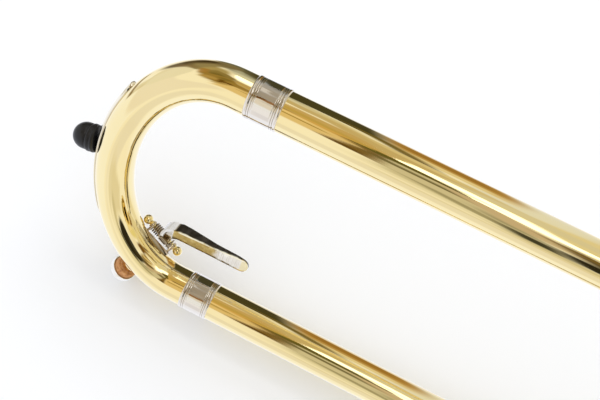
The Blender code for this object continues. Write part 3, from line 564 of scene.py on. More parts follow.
    def mesh(self, name):
        me = bpy.data.meshes.new(name)
        a = np.array(LIE)
        v = np.array(self.v, float) * MM @ a[:3, :3].T + a[:3, 3]
        me.from_pydata([tuple(p) for p in v], [], self.f)
        me.validate(clean_customdata=False)
        bm = bmesh.new()
        bm.from_mesh(me)
        bmesh.ops.recalc_face_normals(bm, faces=bm.faces)
        bm.to_mesh(me)
        bm.free()
        return me


def tool(shape, name="tool"):
    ob = bpy.data.objects.new(name, shape.mesh(name))
    bpy.context.scene.collection.objects.link(ob)
    return ob


def boolean(ob, cutters, op='DIFFERENCE'):
    for c in cutters:
        b = ob.modifiers.new("b", 'BOOLEAN')
        b.operation = op
        b.solver = 'EXACT'
        b.object = c
    bpy.context.view_layer.update()
    me = bpy.data.meshes.new_from_object(ob.evaluated_get(bpy.context.evaluated_depsgraph_get()))
    ob.modifiers.clear()
    ob.data = me
    for c in cutters:
        bpy.data.objects.remove(c, do_unlink=True)
    return ob


def round_edges(ob, width, angle=35.0, segs=2):
    """Rounds the sharp edges of an object and bakes the result."""
    b = ob.modifiers.new("round", 'BEVEL')
    b.width = width * MM
    b.segments = segs
    b.limit_method = 'ANGLE'
    b.angle_limit = math.radians(angle)
    b.harden_normals = False
    b.use_clamp_overlap = True
    bpy.context.view_layer.update()
    me = bpy.data.meshes.new_from_object(ob.evaluated_get(bpy.context.evaluated_depsgraph_get()))
    ob.modifiers.clear()
    ob.data = me
    return ob


def finish(ob, name, mat, body, nodes, sharp=38.0):
    ob.name = name
    ob.data.name = name
    ob.data.materials.clear()
    ob.data.materials.append(mat)
    ob.data.shade_smooth()
    ob.data.set_sharp_from_angle(angle=math.radians(sharp))
    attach(ob, body)
    if nodes:
        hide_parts(*nodes)
    return ob


def piece(shape, name, mat, body, *nodes, sharp=38.0):
    ob = tool(shape, name) if isinstance(shape, Shape) else shape
    return finish(ob, name + "_v", mat, body, nodes, sharp)


def soft(profile, f=0.25, n=3, closed=True):
    """Rounds the corners of a profile. A point may carry its own radius."""
    pts = [(p[0], p[1], p[2] if len(p) > 2 else f) for p in profile]
    m = len(pts)
    out = []
    for i, (x, y, r) in enumerate(pts):
        if not closed and i in (0, m - 1) or r <= 0:
            out.append((x, y))
            continue
        ax, ay, _ = pts[i - 1]
        bx, by, _ = pts[(i + 1) % m]
        a, b = Vector((ax - x, ay - y)), Vector((bx - x, by - y))
        if a.length < 1e-6 or b.length < 1e-6:
            out.append((x, y))
            continue
        t = min(r, a.length * 0.46, b.length * 0.46)
        if a.normalized().dot(b.normalized()) < -0.999:
            out.append((x, y))
            continue
        p0, p1, p2 = Vector((x, y)) + a.normalized() * t, Vector((x, y)), Vector((x, y)) + b.normalized() * t
        for k in range(n + 1):
            s = k / n
            q = p0 * (1 - s) ** 2 + p1 * 2 * s * (1 - s) + p2 * s * s
            out.append((q.x, q.y))
    return out


def arc(c, r, a0, a1, n, u, v):
    c, u, v = V(c), V(u).normalized(), V(v).normalized()
    return [c + u * (r * math.cos(a)) + v * (r * math.sin(a))
            for a in [math.radians(a0 + (a1 - a0) * i / n) for i in range(n + 1)]]


def bezier(p0, d0, p3, d3, n, k=0.4):
    p0, p3 = V(p0), V(p3)
    s = (p3 - p0).length * k
    p1 = p0 + V(d0).normalized() * s
    p2 = p3 - V(d3).normalized() * s
    return [p0 * (1 - t) ** 3 + p1 * 3 * t * (1 - t) ** 2 + p2 * 3 * t * t * (1 - t) + p3 * t ** 3
            for t in [i / n for i in range(n + 1)]]


def line(a, b, n):
    a, b = V(a), V(b)
    return [a + (b - a) * (i / n) for i in range(n + 1)]


def capsule(p, q, rp, rq, n=16):
    p, q = Vector(p[:2]), Vector(q[:2])
    d = q - p
    base = math.atan2(d.y, d.x)
    out = []
    for i in range(n + 1):
        a = base + math.pi / 2 + math.pi * i / n
        out.append((p.x + rp * math.cos(a), p.y + rp * math.sin(a)))
    for i in range(n + 1):
        a = base - math.pi / 2 + math.pi * i / n
        out.append((q.x + rq * math.cos(a), q.y + rq * math.sin(a)))
    return out


def bow_point(t, off=0.0, y=0.0):
    a = math.radians(t)
    c = V((-BOW_DEPTH * math.cos(a), y, SLIDE_W / 2 - SLIDE_W / 2 * math.sin(a)))
    nn = V((-math.cos(a) / BOW_DEPTH, 0, -math.sin(a) / (SLIDE_W / 2))).normalized()
    return c + nn * off


def bow_normal(t):
    return (bow_point(t, 1.0) - bow_point(t)).normalized()


def bow_tangent(t):
    return (bow_point(t + 0.5) - bow_point(t - 0.5)).normalized()


# ==================================================== camera, world, floor
def H_point(x, y, z):
    return LIE @ (V((x, y, z)) * MM)


def H_dir(x, y, z):
    return (TURN @ V((x, y, z))).normalized()


cam_data = bpy.data.cameras.new("camera")
cam_data.lens = 45.0
cam_data.sensor_width = 36.0
cam_data.sensor_fit = 'HORIZONTAL'
cam_data.clip_start = 0.01
cam_data.clip_end = 50
cam = bpy.data.objects.new("camera", cam_data)
bpy.context.scene.collection.objects.link(cam)
right = H_dir(0.8932304, 0.3168053, 0.3190201)
up = H_dir(-0.4415711, 0.4846750, 0.7550531)
back = H_dir(0.0845838, -0.8153064, 0.5728185)
cm = Matrix((right, up, back)).transposed().to_4x4()
cm.translation = H_point(55.10, -213.91, 213.69)
cam.matrix_world = cm
bpy.context.scene.camera = cam

bpy.context.scene.view_settings.view_transform = 'Standard'
bpy.context.scene.view_settings.look = 'None'
bpy.context.scene.view_settings.exposure = 0.0
bpy.context.scene.view_settings.gamma = 1.0

# The room that the polished metal mirrors: soft-edged panels on the sky, from
# below upward. Each is (kind, azimuth, elevation, half width, half height,
# softness, tilt, colour in 0-255, strength), angles in degrees; 'b' is a box
# and 'e' an ellipse.
ROOM = [
    # kind, az, el, half az, half el, soft, angle, colour sRGB, opacity
    # the cool white of the table, seen from below the horizon
    ('b', 180, -62, 181, 32, 14, 0, (262,266,277), 1.0),
    ('b', 205, -20, 44, 20, 2.5, 0, (261,265,276), 1.0),
    ('b', 214, 14, 38, 14, 4, 0, (248,246,248), 1.0),
    ('b', 277, -16, 21, 12, 8, 0, (244,243,246), 0.9),
    # upper sky base: pale beige everywhere above the horizon
    ('b', 37, 36, 40, 40, 5, 0, (232,224,196), 1.0),
    ('b', 30, -12, 44, 9, 9, 17, (238,232,212), 0.8),
    ('b', 60, 60, 17, 12, 8, 0, (224,220,204), 1.0),
    ('e', 30, 18, 22, 11, 9, 0, (232,224,188), 0.8),
    ('e', 50, -3, 22, 8, 8, -15, (222,214,184), 0.9),
    ('b', 12, 47, 16, 4, 5, 28, (150,118,62), 1.0),
    ('b', 12, 38, 12, 2.5, 4, 10, (110,82,30), 0.9),
    ('b', 22, 54, 12, 2.5, 4, 28, (130,110,50), 0.8),
    ('b', 8, 60, 10, 2.5, 3, 35, (255,250,235), 0.9),
    ('b', 77, 12, 5, 38, 4, 0, (236,240,248), 1.0),
    ('b', 85, 3, 6, 33, 4, 0, (192,158,98), 1.0),
    ('b', 85.5, -6, 5, 15, 5, 0, (158,120,58), 0.9),
    ('b', 84, 29, 5, 9, 6, 8, (238,228,196), 0.9),
    ('b', 98.5, 44, 4.5, 8, 5, 0, (222,214,186), 1.0),
    ('b', 92, 70, 16, 22, 10, 0, (205,187,144), 1.0),
    ('e', 86, 54, 8, 7, 8, 0, (226,214,178), 0.9),
    ('b', 142, 82, 42, 9, 5, 0, (204,178,126), 1.0),
    # right of the dark line: grey olive fading upward to pale grey
    ('b', 109, 4, 8, 36, 5, 0, (108,110,94), 1.0),
    ('b', 111, 26, 10, 12, 14, 0, (186,190,188), 0.9),
    ('b', 111, 42, 9, 9, 8, 0, (214,218,216), 0.9),
    ('b', 97, 1, 6.2, 32, 3, 0, (74,70,44), 1.0),
    ('b', 90, 34, 3, 13, 4, 13, (116,102,52), 0.95),
    ('e', 85, -40, 14, 12, 12, 0, (244,244,250), 0.9),
    # the dark mass and the band that climbs to the right
    ('e', 122, 2, 18, 22, 8, 0, (128,118,92), 1.0),
    ('b', 140, 22, 14, 26, 10, -38, (150,140,108), 1.0),
    ('e', 146, 46, 24, 14, 10, 20, (176,162,118), 1.0),
    ('b', 164, 59, 22, 15, 8, 0, (146,130,80), 1.0),
    ('e', 172, 57, 13, 7, 8, 0, (124,108,54), 0.9),
    ('b', 166, 43, 16, 4.5, 6, 18, (168,130,66), 0.9),
    ('b', 111, 59, 9, 9, 5, 20, (203,187,149), 1.0),
    ('b', 121.5, 60.5, 13, 5, 3, 45, (255,255,255), 1.0),
    ('e', 118, 12, 6, 14, 8, 0, (122,112,88), 0.8),
    ('e', 130, -4, 12, 15, 8, 0, (92,80,60), 0.9),
    ('e', 146, -2, 8, 16, 8, -12, (78,62,40), 0.9),
    ('e', 126, -6, 7, 6, 4, 0, (58,46,24), 0.9),
    ('e', 150, 14, 5, 16, 6, -10, (132,112,84), 0.6),
    # white wedge to the right of it
    ('b', 172, 8, 15, 11, 3, 0, (238,236,228), 1.0),
    ('e', 178, 20, 21, 17, 4, 0, (242,242,240), 1.0),
    ('b', 168, -17.5, 20, 2.2, 3.5, 25, (150,130,98), 1.0),
    ('b', 179, -5.5, 9, 4, 6, 22, (222,214,192), 0.7),
    # west half
    ('b', 210, 61, 34, 15, 7, 0, (158,132,70), 1.0),
    ('b', 217, 83, 42, 8, 4, 0, (198,172,102), 1.0),
    ('e', 205, 52, 14, 6, 6, 20, (186,158,100), 0.9),
    ('b', 219, 58, 12, 3, 5, -20, (112,84,28), 1.0),
    ('e', 229, 57, 6, 7, 5, 0, (100,70,18), 1.0),
    ('e', 197, 66, 10, 6, 7, 0, (124,110,54), 0.8),
    ('b', 235, 50, 6, 9, 5, 0, (190,165,110), 0.8),
    ('b', 251, 56, 13, 21, 7, 0, (232,208,158), 1.0),
    ('b', 244, 68, 7, 2.2, 3, 0, (249,230,186), 0.8),
    ('b', 252, 57.5, 7, 2.6, 3, 0, (172,146,78), 0.95),
    ('b', 246, 76, 9, 6, 6, 0, (214,176,104), 0.9),
    ('b', 266.6, 52, 3.7, 18, 3, 0, (126,102,54), 1.0),
    ('b', 264.6, 41, 2.2, 5, 3, 0, (96,72,30), 0.8),
    ('e', 264, 73, 7, 6, 6, 0, (120,92,40), 0.9),
    ('b', 282, 82, 30, 8, 5, 0, (104,98,48), 1.0),
    ('b', 278, 47, 9, 28, 5, 0, (214,210,194), 1.0),
    ('b', 277, 63, 11, 5.5, 6, 0, (116,110,78), 0.95),
    ('b', 277, 16, 9, 8, 9, 0, (238,236,224), 0.9),
    ('b', 278, 30, 9, 3.6, 4, -60, (164,160,138), 0.9),
    ('b', 283, -1, 14, 4.5, 5, 0, (236,232,220), 0.9),
    ('b', 284.6, 20, 2.8, 11, 4, 0, (70,69,56), 1.0),
    ('e', 285, 42, 4, 8, 5, 0, (160,157,138), 0.9),
    ('b', 294, 60, 10, 16, 6, 0, (206,190,172), 1.0),
    ('e', 303, 30, 16, 16, 5, 0, (46,42,30), 1.0),
    ('b', 304, 44, 9, 10, 6, 0, (64,56,34), 0.9),
    ('e', 312, 35, 7, 8, 5, 0, (74,74,70), 0.8),
    ('b', 307, 57, 9, 7, 6, 20, (120,100,58), 1.0),
    ('b', 330, 56, 18, 8, 6, 8, (164,142,98), 1.0),
    ('b', 320, 64, 3, 9, 3, -30, (240,225,190), 0.9),
    ('b', 335, 60, 3, 12, 3, -30, (245,225,180), 0.9),
    ('e', 333, 32, 11, 12, 6, 0, (250,246,240), 1.0),
    ('b', 352, 42, 10, 7, 6, -10, (118,84,30), 1.0),
    ('e', 348, 22, 14, 8, 6, 0, (236,226,170), 1.0),
    ('e', 354, 9, 7, 6, 4, 0, (132,94,24), 1.0),
    ('b', 303, 3, 20, 9, 7, 0, (236,231,216), 1.0),
    ('e', 288, 8, 8, 5, 5, 0, (212,206,184), 0.8),
    ('b', 298, 22, 10, 6, 4, 0, (48,44,32), 1.0),
    ('e', 324, -55, 20, 9, 8, 0, (206,192,150), 0.8),
    ('e', 352, -32, 12, 16, 9, 0, (228,216,180), 0.8),
    ('b', 40, 84, 43, 8, 4, 0, (255,255,255), 1.0),
    ('b', 334, 75, 25, 5.5, 4, 0, (255,255,255), 1.0),
]

world = bpy.data.worlds.new("studio")
bpy.context.scene.world = world
world.use_nodes = True
wn = Nodes(world.node_tree)
w_out = wn.add('ShaderNodeOutputWorld')
w_co = wn.add('ShaderNodeTexCoord').outputs['Generated']
w_nrm = wn.add('ShaderNodeVectorMath', operation='NORMALIZE')
wn.link(w_co, w_nrm.inputs[0])
w_sep = wn.add('ShaderNodeSeparateXYZ')
wn.link(w_nrm.outputs[0], w_sep.inputs[0])
az_raw = wn.math('DEGREES', wn.math('ARCTAN2', w_sep.outputs[1], w_sep.outputs[0]))
az = wn.math('WRAP', az_raw, 360.0, 0.0)
el = wn.math('DEGREES', wn.math('ARCSINE', w_sep.outputs[2]))


def screen(c):
    """A 0-255 screen colour as scene-linear light; full white is a lamp."""
    out = [x / 255 for x in c]
    out = [x / 12.92 if x <= 0.04045 else ((x + 0.055) / 1.055) ** 2.4 for x in out]
    gain = 2.1 if tuple(c) == (255, 255, 255) else 1.0
    return tuple(x * gain for x in out)


def panel(n, kind, a, e, ha, he, soft_, tilt, strength):
    """Mask of one panel from the azimuth and elevation nodes."""
    d = n.math('WRAP', n.math('SUBTRACT', az, a), 180.0, -180.0)
    v = n.math('SUBTRACT', el, e)
    if tilt:
        c, s = math.cos(math.radians(tilt)), math.sin(math.radians(tilt))
        u = n.math('MULTIPLY_ADD', d, c, n.math('MULTIPLY', v, s))
        w = n.math('MULTIPLY_ADD', v, c, n.math('MULTIPLY', d, -s))
    else:
        u, w = d, v
    if kind == 'b':
        m = n.math('MULTIPLY', n.span(n.math('ABSOLUTE', u), ha - soft_ / 2, ha + soft_ / 2, 1.0, 0.0),
                   n.span(n.math('ABSOLUTE', w), he - soft_ / 2, he + soft_ / 2, 1.0, 0.0))
    else:
        uu_ = n.math('POWER', n.math('ABSOLUTE', n.math('DIVIDE', u, ha)), 2.0)
        ww_ = n.math('POWER', n.math('ABSOLUTE', n.math('DIVIDE', w, he)), 2.0)
        q = soft_ / 2 / min(ha, he)
        m = n.span(n.math('SQRT', n.math('ADD', uu_, ww_)), 1 - q, 1 + q, 1.0, 0.0)
    return n.math('MULTIPLY', m, strength) if strength < 1 else m


room = (1.04, 1.04, 1.04, 1.0)
for kind, a, e, ha, he, so, tilt, c, strength in ROOM:
    room = wn.mix(panel(wn, kind, a, e, ha, he, so, tilt, strength), room, (*screen(c), 1.0))
w_room = wn.add('ShaderNodeBackground')
wn.link(room, w_room.inputs[0])
w_white = wn.add('ShaderNodeBackground')
w_white.inputs[0].default_value = (0.96, 0.972, 0.996, 1.0)
w_white.inputs[1].default_value = 1.0
lp = wn.add('ShaderNodeLightPath')
w_mix = wn.add('ShaderNodeMixShader')
wn.link(wn.math('MAXIMUM', lp.outputs['Is Camera Ray'], lp.outputs['Is Diffuse Ray']), w_mix.inputs[0])
wn.link(w_room.outputs[0], w_mix.inputs[1])
wn.link(w_white.outputs[0], w_mix.inputs[2])
wn.link(w_mix.outputs[0], w_out.inputs[0])
try:
    world.cycles.sampling_method = 'NONE'
except (AttributeError, TypeError):
    pass

fm = bpy.data.materials.new("studio_floor")
fm.use_nodes = True
fn = Nodes(fm.node_tree)
f_out = fn.add('ShaderNodeOutputMaterial')
f_b = fn.add('ShaderNodeBsdfPrincipled')
fn.link(f_b.outputs[0], f_out.inputs[0])
f_co = fn.add('ShaderNodeTexCoord').outputs['Object']
fn.link(fn.ramp(fn.noise(1.3, 2.0, 0.5, f_co), [(0.3, (0.945, 0.947, 0.952)), (0.7, (0.962, 0.963, 0.965))]),
        f_b.inputs['Base Color'])
f_b.inputs['Roughness'].default_value = 1.0
f_b.inputs['Specular IOR Level'].default_value = 0.0
me = bpy.data.meshes.new("floor")
bm = bmesh.new()
bmesh.ops.create_grid(bm, x_segments=8, y_segments=8, size=6.0)
bm.to_mesh(me)
bm.free()
floor = bpy.data.objects.new("floor", me)
floor.data.materials.append(fm)
bpy.context.scene.collection.objects.link(floor)
floor.location = (0, 0, -0.0003)
floor.visible_glossy = False

sun = bpy.data.lights.new("soft_key", 'AREA')
sun.shape = 'RECTANGLE'
sun.size = 1.1
sun.size_y = 0.8
sun.energy = 6.5
key = bpy.data.objects.new("soft_key", sun)
bpy.context.scene.collection.objects.link(key)
key.location = (-0.25, 1.25, 1.7)
key.rotation_euler = (V((-0.45, 0, 0)) - key.location).to_track_quat('-Z', 'Y').to_euler()
key.visible_glossy = False
key.visible_camera = False

# ==================================================== OUTER SLIDE
OS = "outer_slide"
N_BOW = 150
bow_path = line((FERRULE_X[0] + 3.0, 0, SLIDE_W), (0.6, 0, SLIDE_W), 5)
bow_path += [bow_point(-90 + 180 * i / N_BOW) for i in range(N_BOW + 1)]
bow_path += line((0.6, 0, 0), (FERRULE_X[0] + 3.0, 0, 0), 5)
bow = tool(Shape().swept(bow_path, BOW_R, 144, wall=0.5), "slide_bow")
NIPPLE_T = 64.0
NIPPLE_SIDE = math.radians(5.0)
nip_n = (bow_normal(NIPPLE_T) * math.cos(NIPPLE_SIDE) + V((0, math.sin(NIPPLE_SIDE), 0))).normalized()
nip_c = bow_point(NIPPLE_T)
nip_f = place(nip_c, nip_n, (0, 1, 0))
boolean(bow, [tool(Shape().turned([(0, 4.0), (1.7, 4.0), (1.7, 9.0), (0, 9.0)], nip_f, 32, False))])
piece(bow, "slide_bow", BRASS_DRAWN, OS, "slide_bow", sharp=60)

F0, F1 = FERRULE_X


def bead(h, r, half, n=8, tall=0.62):
    """A small half-round bead in a profile."""
    return [(r + half * math.sin(math.pi * k / n) * tall, h - half + 2 * half * k / n) for k in range(n + 1)]


def ferrule_profile():
    """Rolled collar, two low rings, plain barrel, two low rings, collar."""
    def end(h0, s):
        q = [(TUBE_RI + 0.1, 0), (7.42, 0), (7.56, 0.08), (7.69, 0.25), (7.76, 0.5), (7.77, 0.75), (7.73, 1.0), (7.68, 1.15), (7.635, 1.3)]
        q += [(7.622 + 0.018 * (1 - math.cos(2 * math.pi * k / 10)), 1.35 + 0.7 * k / 10) for k in range(21)]
        q += [(7.64, 2.8), (7.664, 2.92), (7.67, 3.05)]
        return [(r, h0 + s * h) for r, h in q]
    return end(F0, 1) + end(F1, -1)[::-1]


def ferrule_painted_reflection(n, co, plain):
    """Painted reflection on the ferrule barrel: a dull taupe band with less metal sheen, a
    copper-brown line below it and a pale band below that, fainter on the rings and collars."""
    x, y, z = instrument_mm(n, co)
    h = n.math('MULTIPLY_ADD', n.math('GREATER_THAN', z, SLIDE_W / 2), -SLIDE_W, z)
    v = n.math('DIVIDE', n.math('ADD', n.math('MULTIPLY', h, 0.819), n.math('MULTIPLY', y, 0.574)), 7.67)
    v = n.math('ADD', v, n.math('MULTIPLY', n.math('SUBTRACT', n.noise(160.0, 3.0, 0.6, co), 0.5), 0.10))
    barrel = n.math('MULTIPLY', n.span(x, F0 + 2.7, F0 + 3.0, 0.35, 1), n.span(x, F1 - 3.0, F1 - 2.7, 1, 0.35))
    dull = n.math('MULTIPLY', n.math('MULTIPLY', n.span(v, -0.03, 0.02, 0, 1), n.span(v, 0.60, 0.68, 1, 0)), barrel)
    line_ = n.math('MULTIPLY', n.math('MULTIPLY', n.span(v, -0.11, -0.07, 0, 1), n.span(v, -0.03, 0.01, 1, 0)), barrel)
    pale = n.math('MULTIPLY', n.math('MULTIPLY', n.span(v, -0.46, -0.36, 0, 1), n.span(v, -0.11, -0.07, 1, 0)), barrel)
    # painted reflection bands: taupe, pale and copper-brown
    col = n.mix(n.math('MULTIPLY', dull, 0.95), plain, (0.37, 0.315, 0.235, 1.0))
    col = n.mix(n.math('MULTIPLY', pale, 0.9), col, (0.79, 0.75, 0.65, 1.0))
    col = n.mix(n.math('MULTIPLY', line_, 0.9), col, (0.27, 0.13, 0.055, 1.0))
    # painted shade in the grooves beside the rings
    for at, share in ((F0 + 1.35, 0.7), (F0 + 2.05, 0.7), (F1 - 1.35, 0.7), (F1 - 2.05, 0.7)):
        d = n.math('ABSOLUTE', n.math('SUBTRACT', x, at))
        col = n.mix(n.span(d, 0.19, 0.03, 0, share), col, (0.30, 0.235, 0.165, 1.0))
    dull = n.math('ADD', dull, n.math('MULTIPLY', pale, 0.8))
    return col, n.math('MULTIPLY_ADD', dull, -0.62, 1.0)


# nickel ferrules with painted reflection bands and painted shade in the grooves
RINGED = metal("nickel_ferrule", (0.80, 0.75, 0.68), (0.71, 0.65, 0.57), 0.06, smudge=0.03, fine=0.03, painted_bands=ferrule_painted_reflection)
for side, z in (("lower", LOWER), ("upper", UPPER)):
    m = along_x(0, 0, z)
    piece(Shape().turned(ferrule_profile(), m, 128), "bow_ferrule_" + side, RINGED, OS, "bow_ferrule_" + side, sharp=30)
    tube = soft([(TUBE_RI, F1 - 4.0, 0), (TUBE_R, F1 - 4.0, 0), (TUBE_R, OUTER_END, 0.2), (TUBE_RI, OUTER_END, 0.2)])
    piece(Shape().turned(tube, m, 192), "outer_tube_" + side, BRASS_DRAWN, OS, "outer_tube_" + side, sharp=50)
    a, b = 574.0, OUTER_END
    sl = [(7.45, a), (7.72, a), (8.05, a + 0.35), (8.10, a + 1.6)]
    sl += bead(a + 2.6, 8.02, 0.42) + bead(a + 3.6, 8.02, 0.42)
    sl += [(8.12, a + 4.6), (8.12, b - 9.0)] + bead(b - 8.0, 8.10, 0.42) + [(8.14, b - 7.0), (8.14, b - 2.4)]
    sl += bead(b - 1.6, 8.12, 0.5) + [(8.14, b - 0.7), (8.0, b - 0.1), (7.7, b), (7.45, b)]
    s = Shape().turned(sl, m, 96)
    if side == "upper":
        s.box((7.0, 3.2, 2.4), place((614.5, 9.4, z), (0, 1, 0), (1, 0, 0)), 0.6)
    piece(s, "outer_sleeve_" + side, NICKEL, OS, "outer_sleeve_" + side, sharp=30)


def wrapped_strip(t0, t1, n, half_w, r0, thick, tips, m_w=12):
    """A closed strip lying on the outside of the bow between two angles. Its
    half width follows `half_w`, its ends taper to rounded tips."""
    s = Shape()
    rows = []
    for i in range(n + 1):
        u = i / n
        t = t0 + (t1 - t0) * u
        c = bow_point(t)
        nn = bow_normal(t)
        w = half_w * tips(u)
        top, bot = [], []
        for k in range(m_w + 1):
            q = -1 + 2 * k / m_w
            a = q * w / r0
            crown = thick * (1 - 0.55 * q ** 4) * min(1.0, 0.35 + 2.2 * tips(u))
            d = nn * math.cos(a) + V((0, 1, 0)) * math.sin(a)
            top.append(c + d * (r0 + crown))
            bot.append(c + d * r0)
        rows.append(top + bot[::-1])
    k = len(rows[0])
    verts = [tuple(p) for r in rows for p in r]
    faces = []
    for i in range(n):
        for q in range(k):
            q2 = (q + 1) % k
            faces.append((i * k + q, i * k + q2, (i + 1) * k + q2, (i + 1) * k + q))
    faces.append(tuple(range(k))[::-1])
    faces.append(tuple(n * k + q for q in range(k)))
    return s.add(verts, faces)


def guard_tip(u):
    e = min(u, 1 - u) / 0.13
    return 1.0 if e >= 1 else max(0.05, math.sqrt(max(0.0, 1 - (1 - e) ** 2.2)))


piece(wrapped_strip(-36.0, 36.0, 110, 3.4, BOW_R + 0.03, 1.0, guard_tip, 20), "bow_guard", GUARD, OS, "bow_guard", sharp=50)

bump_dir = V((-0.975, 0, -0.13)).normalized()
bump_at = V((-BOW_DEPTH - BOW_R - 1.3, 0, SLIDE_W / 2 + 1.2))
bump = [(5.12 * math.sin(math.radians(a)), 4.66 + 5.06 * math.cos(math.radians(a))) for a in range(0, 91, 6)]
bump[0] = (0, 9.72)
bump += [(5.12, 4.2), (5.10, 3.75), (5.02, 3.45), (4.86, 3.22), (4.82, 3.05), (4.90, 2.92), (5.16, 2.84), (5.30, 2.70), (5.38, 2.45), (5.40, 2.1),
         (5.32, 1.55), (5.12, 1.30), (5.10, 1.15), (5.22, 0.95), (5.30, 0.65), (5.25, 0.3), (5.1, 0.12), (0, 0.1)]
piece(Shape().turned(bump, place(bump_at, bump_dir, (0, 0, 1)), 72, False), "rubber_bumper", RUBBER, OS, "rubber_bumper", sharp=60)

# water key -----------------------------------------------------------------
nip = soft([(1.7, BOW_R - 0.6, 0), (4.1, BOW_R - 0.6, 0.1), (3.9, BOW_R + 0.45, 0.3), (3.2, BOW_R + 0.95, 0.3), (3.2, BOW_R + 2.8, 0.2),
            (1.7, BOW_R + 2.8, 0.2)])
piece(Shape().turned(nip, nip_f, 56), "water_nipple", BRASS, OS, "water_nipple", sharp=40)

KEY_A = V((-20.75, 7.0, -28.85 + SLIDE_W / 2))
KEY_B = V((-5.6, 7.0, -37.15 + SLIDE_W / 2))
KEY_M = (KEY_A + KEY_B) / 2
key_d = (KEY_B - KEY_A).normalized()
KEY_L = (KEY_B - KEY_A).length
tube_here = bow_point(58.0)
out_k = KEY_M - tube_here
out_k = (out_k - key_d * out_k.dot(key_d)).normalized()
kf = place(KEY_M, key_d, out_k)          # local z along the pivot, x away from the tube, y towards the camera

sad = tool(Shape().box((2.5, 5.2, 13.2), kf @ shift(-4.1, 0.1, 0), 0.0), "saddle")
lugs = []
for z_, th in ((-5.75, 0.9), (5.8, 0.9)):
    outline = [(-4.0, -1.7), (0.0, -1.7)] + [(1.7 * math.cos(a), 1.7 * math.sin(a)) for a in
                                             [math.radians(-90 + 180 * i / 14) for i in range(1, 14)]] + [(0.0, 1.7), (-4.0, 1.7)]
    lugs.append(tool(Shape().plate(outline, th, kf @ shift(0, 0, z_), 0.0)))
boolean(sad, lugs, 'UNION')
boolean(sad, [tool(Shape().swept([bow_point(t) for t in range(30, 94, 2)], BOW_R + 0.05, 64, cap=0.01))])
boolean(sad, [tool(Shape().turned([(0, -9), (1.25, -9), (1.25, 9), (0, 9)], kf, 32, False))])
round_edges(sad, 0.22, 32, 2)
piece(sad, "water_key_saddle", NICKEL_BROWN, OS, "water_key_saddle", sharp=45)

for nm, s in (("key_screw_front", -1), ("key_screw_rear", 1)):
    h = KEY_L / 2
    ball = [(0, h + 1.98)] + [(1.98 * math.cos(a), h + 1.98 * math.sin(a)) for a in
                              [math.radians(86 - 8 * i) for i in range(18)] if a > math.radians(-48)]
    ball += soft([(1.32, h - 1.5, 0), (1.02, h - 1.66, 0.12), (1.02, h - 1.9, 0.12), (1.55, h - 2.0, 0.12), (1.55, h - 2.36, 0.12), (1.0, h - 2.45, 0.1),
                  (0.95, 0.3, 0)], closed=False) + [(0, 0.3)]
    piece(Shape().turned(ball, place(KEY_M, key_d * s, out_k), 48, False), nm, BRASS, OS, nm, sharp=40)

# double torsion spring: a coil on each screw, joined by a bridge over the hub
WIRE = 0.34
sp = []
for z_a, z_b, turns in ((-5.0, -1.25, 4.25), (5.05, 3.85, 1.25)):
    seg = []
    n = int(30 * turns)
    for i in range(n + 1):
        a = math.radians(170 + 360 * turns * i / n)
        seg.append(kf @ V((1.92 * math.cos(a), 1.92 * math.sin(a), z_a + (z_b - z_a) * i / n)))
    sp.append(seg)
b0 = kf @ V((-1.2, 3.65, -0.7))
b1 = kf @ V((-1.2, 3.65, 3.5))
tang_l = (sp[0][-1] - sp[0][-2]).normalized()
tang_r = (sp[1][-1] - sp[1][-2]).normalized()
bridge = bezier(sp[0][-1], tang_l, b0, key_d, 16, 0.5)[1:] + line(b0, b1, 8)[1:] + bezier(b1, key_d, sp[1][-1], -tang_r, 16, 0.5)[1:-1]
wire = sp[0] + bridge + sp[1][::-1]
piece(Shape().swept(wire, WIRE, 14, cap=0.12, up=key_d), "water_key_spring", STEEL, OS, "water_key_spring", sharp=60)

# lever: hub, finger strip with a flange that tapers to the tip, a curl at its
# root, the arm round the far side of the tube, and the cup
WK = "water_key"
HUB0, HUB1 = -0.5, 3.3
hub_c = KEY_M + key_d * ((HUB0 + HUB1) / 2)
STRIP_Y = 2.45


def along(pairs, x):
    """Smooth interpolation through (x, value) pairs."""
    if x <= pairs[0][0]:
        return pairs[0][1]
    for (x0, v0), (x1, v1) in zip(pairs, pairs[1:]):
        if x <= x1:
            t = (x - x0) / (x1 - x0)
            t = t * t * (3 - 2 * t) if len(pairs) > 2 else t
            return v0 + (v1 - v0) * t
    return pairs[-1][1]


